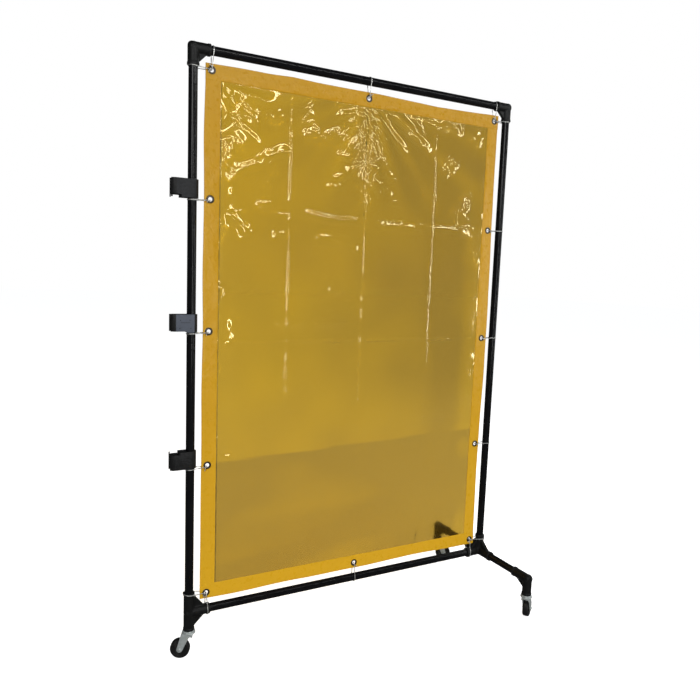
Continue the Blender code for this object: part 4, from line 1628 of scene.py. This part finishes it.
@dataclass
class Curtain:
    """The film, its hem, its eyelets and the wire ties that lace it to the frame."""

    layout: Layout
    wardrobe: Wardrobe
    form: CurtainForm
    film_thickness: float = 0.0006
    film_under_hem: float = 0.010
    side_hem_thickness: float = 0.0022
    end_hem_thickness: float = 0.0030
    hole_radius: float = 0.0080
    wire_radius: float = 0.00085
    wire_offset: float = 0.0009
    nose_radius: float = 0.0056
    tie_slack: float = 0.0022
    left_tie_drop: float = 0.0060
    foot_tie_rise: float = 0.0074
    rim_share: float = 0.6

    @property
    def tie_rises(self) -> dict[str, float]:
        """How far above its eyelet each sloping tie goes round its post."""
        rises = {f"tie_left_{level.value}": -self.left_tie_drop for level in Level}
        rises["tie_bottom_left_post"] = self.foot_tie_rise
        return rises

    def build(self) -> None:
        """Build every piece of the curtain."""
        eyelets = self.eyelet_places()
        strips = self.hem_strips(eyelets)
        film = self.film()
        rings = self.eyelets(eyelets)
        self.ties(eyelets)

    def eyelet_places(self) -> dict[str, Vector]:
        """Return the middle of each eyelet on the hung hem."""
        names = [f"{row}_{column}" for row in ("top", "bottom") for column in ("left", "middle", "right")]
        names += [f"{side}_{level.value}" for side in ("left", "right") for level in Level]
        places = {}
        for name in names:
            low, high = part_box(f"eyelet_{name}")
            middle = (low + high) / 2
            offset = self.form.depth(np.array([middle.x]), np.array([middle.z]))[0]
            places[name] = Vector((middle.x, offset, middle.z))
        return places

    def film(self) -> bpy.types.Object:
        """Build the film as one thin closed sheet with its creases and wrinkles."""
        form = self.form
        inset = form.hem - self.film_under_hem
        upright, level = form.folds()
        sides = [form.left + form.hem, form.right - form.hem]
        xs = graded(form.left + inset, form.right - inset, upright + sides, 0.0076, 0.0012)
        zs = graded(form.bottom + inset, form.top - inset, level, 0.0084, 0.0013)
        x, z = np.meshgrid(xs, zs)
        points = form.surface(x, z).reshape(-1, 3)
        rows, columns = x.shape
        corner = (np.arange(rows - 1)[:, None] * columns + np.arange(columns - 1)).ravel()
        faces = np.stack([corner, corner + 1, corner + columns + 1, corner + columns], axis=1)
        mesh = bpy.data.meshes.new("curtain_film_sheet")
        mesh.from_pydata(points.tolist(), [], faces.tolist())
        for name, values in ((CRUMPLE, form.crumple(x, z)), (PAINTED_SHADE_AND_SEAM, form.painted_shade_and_seam(x, z))):
            attribute = mesh.attributes.new(name, "FLOAT", "POINT")
            attribute.data.foreach_set("value", values.ravel().astype(np.float32))
        film = bpy.data.objects.new("curtain_film_sheet", mesh)
        bpy.context.scene.collection.objects.link(film)
        solid = film.modifiers.new("thickness", "SOLIDIFY")
        solid.thickness = self.film_thickness
        solid.offset = 0.0
        settle(film, 80)
        return self.wardrobe.dress(film, FILM, FRAME_BODY, ["curtain_film"])

    def hem_strips(self, eyelets: dict[str, Vector]) -> list[bpy.types.Object]:
        """Build the four strips of the hem, the level ones over the upright ones.

        Args:
            eyelets: Middle of each eyelet, by its name.

        Returns:
            The strips.
        """
        form = self.form
        inner_low, inner_high = form.bottom + form.hem, form.top - form.hem
        across, upward = (form.left, form.right), (form.bottom + 0.001, form.top - 0.001)
        side, end = self.side_hem_thickness, self.end_hem_thickness
        return [
            self.strip("hem_left", upward, (form.left, form.left + form.hem), True, side, eyelets),
            self.strip("hem_right", upward, (form.right - form.hem, form.right), True, side, eyelets),
            self.strip("hem_bottom", across, (form.bottom, inner_low), False, end, eyelets),
            self.strip("hem_top", across, (inner_high, form.top), False, end, eyelets),
        ]

    def strip(
        self, node: str, run: Point2, span: Point2, upright: bool, thickness: float,
        eyelets: dict[str, Vector],
    ) -> bpy.types.Object:
        """Build one strip of doubled film with folded, rounded edges.

        Args:
            node: The strip's CAD node.
            run: Where it starts and ends along its length.
            span: Its two edges.
            upright: Whether its length runs along Z.
            thickness: Its thickness.
            eyelets: The eyelets, whose holes go through the strips that they are on.

        Returns:
            The strip.
        """
        half = thickness / 2
        cells = 12
        inside = np.linspace(span[0] + half, span[1] - half, cells)
        turn = [math.radians(angle) for angle in (60, 30, 0, -30, -60)]
        far = [(span[1] - half + half * math.cos(a), half * math.sin(a)) for a in turn]
        near = [(span[0] + half - half * math.cos(a), -half * math.sin(a)) for a in turn]
        section = [(across, half) for across in inside] + far
        section += [(across, -half) for across in inside[::-1]] + near
        steps = np.linspace(run[0], run[1], int((run[1] - run[0]) / 0.0055))
        across = np.array([place for place, _ in section])
        offset = np.array([height for _, height in section])
        grid_run, grid_across = np.meshgrid(steps, across, indexing="ij")
        x, z = (grid_across, grid_run) if upright else (grid_run, grid_across)
        points = self.form.surface(x, z)
        points[..., 1] += offset[None, :] + 0.0004 * soft_noise(x, z, 0.030, 90.0 + upright)
        bm = bmesh.new()
        rings = [[bm.verts.new(point) for point in ring] for ring in points]
        count = len(section)
        for ring, following in zip(rings, rings[1:]):
            for i in range(count):
                j = (i + 1) % count
                bm.faces.new([ring[i], ring[j], following[j], following[i]])
        bm.faces.new(rings[0])
        bm.faces.new(rings[-1])
        strip = mesh_object(f"{node}_strip", bm, 60)
        for place in eyelets.values():
            along, aside = (place.z, place.x) if upright else (place.x, place.z)
            if span[0] < aside < span[1] and run[0] < along < run[1]:
                radius = self.hole_radius
                tool = [(0, 0.02), (radius, 0.02), (radius, -0.02), (0, -0.02)]
                carve(strip, "DIFFERENCE", revolve(tool, 32, frame_along(Y, place)))
        settle(strip, 60)
        return self.wardrobe.dress(strip, HEM, FRAME_BODY, [node])

    def eyelets(self, eyelets: dict[str, Vector]) -> bpy.types.Object:
        """Build the rolled eyelet rings."""
        rings = points_object("eyelet_rings", list(eyelets.values()))
        grow(rings, eyelet_tree(), self.wardrobe.material(EYELET_METAL))
        return self.wardrobe.dress(rings, EYELET_METAL, FRAME_BODY, [f"eyelet_{name}" for name in eyelets])

    def ties(self, eyelets: dict[str, Vector]) -> None:
        """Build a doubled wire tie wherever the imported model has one.

        Args:
            eyelets: Middle of each eyelet, by its name.
        """
        tree = wire_tree()
        lay = self.layout
        for number, (name, place) in enumerate(eyelets.items()):
            row, _, column = name.partition("_")
            if row in ("left", "right"):
                post_x = lay.left_x if row == "left" else lay.right_x
                self.tie(f"tie_{name}", post_x, None, place, tree, number)
                continue
            rail_z = lay.top_z if row == "top" else lay.bottom_z
            if column == "middle":
                self.tie(f"tie_{name}", None, rail_z, place, tree, number)
                continue
            post_x = lay.left_x if column == "left" else lay.right_x
            self.tie(f"tie_{name}_post", post_x, None, place, tree, number)
            self.tie(f"tie_{name}_rail", None, rail_z, place, tree, number + 20)

    def tie(
        self, node: str, post_x: float | None, rail_z: float | None, place: Vector,
        tree: bpy.types.NodeTree, number: int,
    ) -> None:
        """Build one tie: two turns of wire round a pipe and through an eyelet, and a twisted tail.

        Args:
            node: The tie's CAD node.
            post_x: Middle of the post that it goes round, or None for a rail.
            rail_z: Middle of the rail that it goes round, or None for a post.
            place: Middle of its eyelet.
            tree: Tree that draws the wire.
            number: Makes each tie a little different.
        """
        low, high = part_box(node)
        wrap = (high.y - low.y) / 2 - self.tie_slack
        rise = self.tie_rises.get(node, 0.0)
        if rail_z is None:
            level_tie = node.endswith("_post") and node not in self.tie_rises
            start = Vector((post_x, 0, (low.z + high.z) / 2 if level_tie else place.z + rise))
        else:
            start = Vector(((low.x + high.x) / 2, 0, rail_z))
        end = Vector((place.x, place.y, place.z + self.rim_share * min(rise, 0.0)))
        reach = end - start
        along = reach.normalized()
        normal = along.cross(Y).normalized()
        side = normal.cross(along)
        lines = []
        for strand in (-1, 1):
            points = []
            for u, v in self.belt(reach.length, wrap):
                span = min(1.0, max(0.0, (u - wrap) / max(reach.length - wrap, 0.001)))
                weave = math.cos(math.pi * 2.0 * span * (1 if v > 0 else -1) + 0.4 * number)
                shift = strand * self.wire_offset * (weave if 0 < span < 1 else 1.0)
                bow = 0.0006 * math.sin(9.0 * span + number)
                points.append(start + u * along + (v + bow * (span > 0)) * side + shift * normal)
            lines.append((points, True))
        lines += self.tail(end, along, normal, number)
        wire = lines_object(f"{node}_wire", lines)
        grow(wire, tree, self.wardrobe.material(TIE_WIRE), Wire_Radius=self.wire_radius)
        self.wardrobe.dress(wire, TIE_WIRE, FRAME_BODY, [node])

    def belt(self, reach: float, big: float) -> list[Point2]:
        """Return a belt round a pipe and a small nose that ends at reach, with straight runs stepped."""
        small = self.nose_radius
        distance = reach - small
        lean = math.degrees(math.asin((big - small) / distance))
        nose = arc((distance, 0), small, -90 + lean, 90 - lean, 8)
        wrap = arc((0, 0), big, 90 - lean, 270 + lean, 28)
        return nose + between(nose[-1], wrap[0], 8) + wrap + between(wrap[-1], nose[0], 8)

    def tail(
        self, end: Vector, along: Vector, normal: Vector, number: int
    ) -> list[tuple[list[Vector], bool]]:
        """Return the two twisted ends of a tie's wire, which stand off in front of its eyelet.

        Args:
            end: Middle of the eyelet.
            along: Direction from the pipe to the eyelet.
            normal: Direction across the tie, in the curtain's plane.
            number: Makes each tail a little different.

        Returns:
            The two strands, neither closed.
        """
        root = end - along * 0.007 - Y * (self.nose_radius + 0.0004)
        level = abs(normal.z) > abs(normal.x)
        turned = normal.z < 0 if level else number % 2
        sideways = normal * (0.9 if turned else -0.9)
        away = (sideways - along * (0.5 + 0.3 * math.sin(1.7 * number)) - Y * 0.25).normalized()
        first = away.orthogonal().normalized()
        second = away.cross(first)
        length = 0.010 + 0.003 * math.sin(2.3 * number)
        lines = []
        for strand in (0, math.pi):
            points = []
            for i in range(18):
                share = i / 17
                angle = strand + 4.2 * math.pi * share
                spread = self.wire_offset * (1 + 4.0 * max(0.0, share - 0.8))
                offset = first * math.cos(angle) * spread + second * math.sin(angle) * spread
                points.append(root + away * length * share + offset)
            lines.append((points, False))
        return lines


# ------------------------------------------------------------------ couplers


class End(Enum):
    """The two ends of a coupler, by the way they face along Z."""

    BOTTOM = -1
    TOP = 1


@dataclass(frozen=True)
class Moulding:
    """How one coupler's body differs: the step or notch in one end, and its face paled by wear and painted
    sheen.

    The cut lies between two distances from the post's axis, towards the open clip.
    """

    end: End
    near: float
    far: float
    depth: float
    face_wear_and_sheen: float


# The last number is the share of pale wear and painted sheen on each coupler's flat sides.
MOULDINGS = {
    Level.LOWER: Moulding(End.TOP, near=0.037, far=0.063, depth=0.008, face_wear_and_sheen=0.0),
    Level.MIDDLE: Moulding(End.BOTTOM, near=0.0165, far=0.080, depth=0.0035, face_wear_and_sheen=1.0),
    Level.UPPER: Moulding(End.BOTTOM, near=0.037, far=0.063, depth=0.008, face_wear_and_sheen=0.06),
}


@dataclass
class Coupler:
    """A moulded snap coupler: a closed ring on this post and an open clip for the next."""

    level: Level
    layout: Layout
    wardrobe: Wardrobe
    pitch: float = 0.051
    radius: float = 0.0190
    mouth: float = 0.020
    gap: float = 0.0003
    rib: tuple[float, float, float, float] = (-0.037, -0.007, 0.0023, 0.0035)
    stud_places: tuple[Point2, ...] = (
        (-0.0385, 0.0110), (-0.0085, 0.0110), (-0.0400, -0.0148), (-0.0055, -0.0148)
    )

    def build(self, studs: bpy.types.NodeTree) -> None:
        """Build the moulding and its studs.

        Args:
            studs: Tree that draws the studs.
        """
        node = f"coupler_{self.level.value}"
        body = f"{node}_arm"
        low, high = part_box(node)
        post = Matrix.Translation((self.layout.left_x, 0, (low.z + high.z) / 2))
        moulding = self.moulding(node, post, high.z - low.z)
        self.wardrobe.dress(moulding, JOINT_PLASTIC, body, [node])
        places = []
        for x, z in self.stud_places:
            places += [post @ Vector((x, side * (self.radius - 0.0002), z)) for side in (-1, 1)]
        heads = points_object(f"{node}_studs", places)
        grow(heads, studs, self.wardrobe.material(JOINT_PLASTIC))
        self.wardrobe.dress(heads, JOINT_PLASTIC, body)

    def moulding(self, node: str, post: Matrix, height: float) -> bpy.types.Object:
        """Build the body with its bores, mouth, end relief and moulded rib.

        Args:
            node: The coupler's CAD node.
            post: Puts local Z on the post's axis, with the body's middle at 0.
            height: Height of the body.

        Returns:
            The moulding.
        """
        outline = arc((0, 0), self.radius, -90, 90, 32) + arc((-self.pitch, 0), self.radius, 90, 270, 32)
        body = mesh_object(f"{node}_moulding", prism(outline, post, height))
        end = height / 2 + 0.01
        bore = PIPE_RADIUS + self.gap
        for x in (0, -self.pitch):
            tool = [(0, end), (bore, end), (bore, -end), (0, -end)]
            carve(body, "DIFFERENCE", revolve(tool, 64, post @ Matrix.Translation((x, 0, 0))))
        half = self.mouth / 2
        carve(body, "DIFFERENCE", block((-self.pitch - 0.03, -half, -end), (-self.pitch, half, end), post))
        kind = MOULDINGS[self.level]
        end_z = kind.end.value * height / 2
        low = (-kind.far, -0.03, end_z - kind.depth)
        high = (-kind.near, 0.03, end_z + kind.depth)
        carve(body, "DIFFERENCE", block(low, high, post))
        bevelled(body, 0.0009, 3)
        left, right, foot, head = self.rib
        ribs = []
        for side in (-1, 1):
            face = side * self.radius
            ribs.append(block((left, face - 0.0004, foot), (right, face + 0.0004, head), post))
        shell = bmesh.new()
        shell.from_mesh(body.data)
        smooth = len(shell.verts)
        whole = joined([shell, *ribs])
        whole.to_mesh(body.data)
        whole.free()
        self.paint_wear_and_sheen(body.data, smooth, post)
        body.data.shade_smooth()
        body.data.set_sharp_from_angle(angle=math.radians(35))
        return body

    def paint_wear_and_sheen(self, mesh: bpy.types.Mesh, count: int, post: Matrix) -> None:
        """Mark the coupler's two flat sides as pale, for wear and painted sheen.

        Args:
            mesh: The moulding's mesh.
            count: Number of its first vertices that are the body's, not the ribs'.
            post: Puts local Z on the post's axis.
        """
        back = post.inverted()
        wear_and_sheen_marks = mesh.attributes.new(WEAR_AND_SHEEN, "FLOAT", "POINT")
        for index in range(count):
            local = back @ mesh.vertices[index].co
            if -self.pitch - 0.001 < local.x < 0.006 and abs(local.y) > self.radius - 0.0014:
                wear_and_sheen_marks.data[index].value = MOULDINGS[self.level].face_wear_and_sheen


# ------------------------------------------------------------------ studio


@dataclass(frozen=True)
class Softbox:
    """A rectangular lamp that faces a point."""

    name: str
    place: tuple[float, float, float]
    aim: tuple[float, float, float]
    size: Point2
    power: float

    def build(self) -> None:
        """Add the lamp to the scene."""
        lamp = bpy.data.lights.new(self.name, "AREA")
        lamp.shape = "RECTANGLE"
        lamp.size, lamp.size_y = self.size
        lamp.energy = self.power
        obj = bpy.data.objects.new(self.name, lamp)
        obj.location = self.place
        direction = Vector(self.aim) - Vector(self.place)
        obj.rotation_euler = direction.to_track_quat("-Z", "Y").to_euler()
        bpy.context.scene.collection.objects.link(obj)


@dataclass
class Studio:
    """Camera, floor, surroundings and lamps.

    The camera looks along +Y before it is turned by heading to the right, by tilt upwards and by
    roll about its own axis, all in degrees.
    """

    eye: tuple[float, float, float] = (-1.1600, -2.0659, 1.3084)
    heading: float = 28.591
    tilt: float = -6.84
    roll: float = 2.125
    lens: float = 33.89
    sensor: float = 36.0
    floor_half: float = 30.0
    floor_glow: float = 0.68
    backdrop: float = 1.0
    fill: float = 0.34
    mirrored_fill: float = 0.06
    lamps: tuple[Softbox, ...] = (
        Softbox("high_front_lamp", (-3.4, -5.2, 3.3), (0, 0, 0.8), (2.6, 2.0), 165.0),
        Softbox("pocket_lamp", (0.30, -2.0, 3.05), (0, 0, 1.8), (0.5, 0.2), 5.0),
        Softbox("overhead_strip_lamp", (1.1, -2.0, 2.72), (0.3, 0, 1.7), (3.6, 0.08), 24.0),
        Softbox("left_strip_lamp", (-0.10, -3.2, 1.45), (-0.2, 0, 1.2), (0.20, 1.9), 30.0),
        Softbox("right_strip_lamp", (3.7, -3.0, 1.5), (0.4, 0, 1.0), (0.30, 2.4), 46.0),
        Softbox("rear_lamp", (4.2, 1.6, 3.4), (0, 0, 1.0), (2.2, 1.6), 40.0),
    )

    def build(self) -> None:
        """Build the whole studio."""
        self.camera()
        self.floor()
        self.surroundings()
        for lamp in self.lamps:
            lamp.build()
        bpy.context.scene.view_settings.view_transform = "Standard"

    def camera(self) -> None:
        """Add the camera and make it the scene's."""
        data = bpy.data.cameras.new("camera")
        data.lens = self.lens
        data.sensor_width = self.sensor
        data.clip_start = 0.05
        obj = bpy.data.objects.new("camera", data)
        aimed = Matrix.Rotation(math.radians(-self.heading), 4, "Z")
        aimed @= Matrix.Rotation(math.radians(90 + self.tilt), 4, "X")
        aimed @= Matrix.Rotation(math.radians(self.roll), 4, "Z")
        obj.matrix_world = Matrix.Translation(self.eye) @ aimed
        bpy.context.scene.collection.objects.link(obj)
        bpy.context.scene.camera = obj

    def floor(self) -> None:
        """Add the pale floor."""
        half = self.floor_half
        bm = bmesh.new()
        corners = ((-half, -half), (half, -half), (half, half), (-half, half))
        bm.faces.new([bm.verts.new((x, y, 0)) for x, y in corners])
        obj = mesh_object("studio_floor", bm)
        material = bpy.data.materials.new("pale_floor")
        material.use_nodes = True
        sketch = NodeSketch(material.node_tree)
        shader = material.node_tree.nodes["Principled BSDF"]
        place = sketch.add("ShaderNodeTexCoord").outputs["Object"]
        clouds = sketch.add("ShaderNodeTexNoise", Vector=place, Scale=1.5)
        white = sketch.blend(clouds.outputs[0], (0.93, 0.93, 0.93, 1.0), (0.96, 0.96, 0.96, 1.0))
        path = sketch.add("ShaderNodeLightPath")
        direct = sketch.math(
            "MAXIMUM", path.outputs["Is Camera Ray"], path.outputs["Is Transmission Ray"]
        )
        mirrored = sketch.math("SUBTRACT", path.outputs["Is Glossy Ray"], direct)
        seen = sketch.blend(mirrored, white, (0.16, 0.16, 0.16, 1.0))
        sketch.feed(shader.inputs["Base Color"], seen)
        shader.inputs["Emission Color"].default_value = (1, 1, 1, 1)
        sketch.feed(shader.inputs["Emission Strength"], sketch.math("MULTIPLY", direct, self.floor_glow))
        shader.inputs["Roughness"].default_value = 1.0
        shader.inputs["Specular IOR Level"].default_value = 0.0
        obj.data.materials.append(material)

    def surroundings(self) -> None:
        """Make the backdrop white to look at and softer as a source of light."""
        world = bpy.data.worlds.new("studio_world")
        bpy.context.scene.world = world
        world.use_nodes = True
        sketch = NodeSketch(world.node_tree)
        background = world.node_tree.nodes["Background"]
        path = sketch.add("ShaderNodeLightPath")
        seen = sketch.math("MAXIMUM", path.outputs["Is Camera Ray"], path.outputs["Is Transmission Ray"])
        sketch.feed(background.inputs["Color"], sketch.blend(seen, (0.97, 0.985, 1.0, 1.0), (1, 1, 1, 1)))
        unseen = sketch.ranged(path.outputs["Is Glossy Ray"], 0.0, 1.0, self.fill, self.mirrored_fill)
        held = sketch.math("MULTIPLY", unseen, sketch.math("SUBTRACT", 1.0, seen))
        shown = sketch.math("MULTIPLY", seen, self.backdrop)
        sketch.feed(background.inputs["Strength"], sketch.math("ADD", held, shown))


# ------------------------------------------------------------------ whole object


def main() -> None:
    """Build the studio and every piece."""
    logging.basicConfig(level=logging.INFO, format="%(name)s: %(message)s")
    for obj in list(bpy.data.objects):
        bpy.data.objects.remove(obj, do_unlink=True)
    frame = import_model()
    Studio().build()
    wardrobe = Wardrobe()
    layout = Layout.read()
    PipeFrame(layout, wardrobe).build()
    mouth_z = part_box("foot_joint_left")[0].z
    for name in ("caster_left", "caster_front", "caster_rear"):
        Castor.read(name, frame["joints"], mouth_z, wardrobe).build()
    Curtain(layout, wardrobe, CurtainForm.read()).build()
    studs = stud_tree()
    for level in Level:
        Coupler(level, layout, wardrobe).build(studs)


if __name__ == "__main__":
    main()
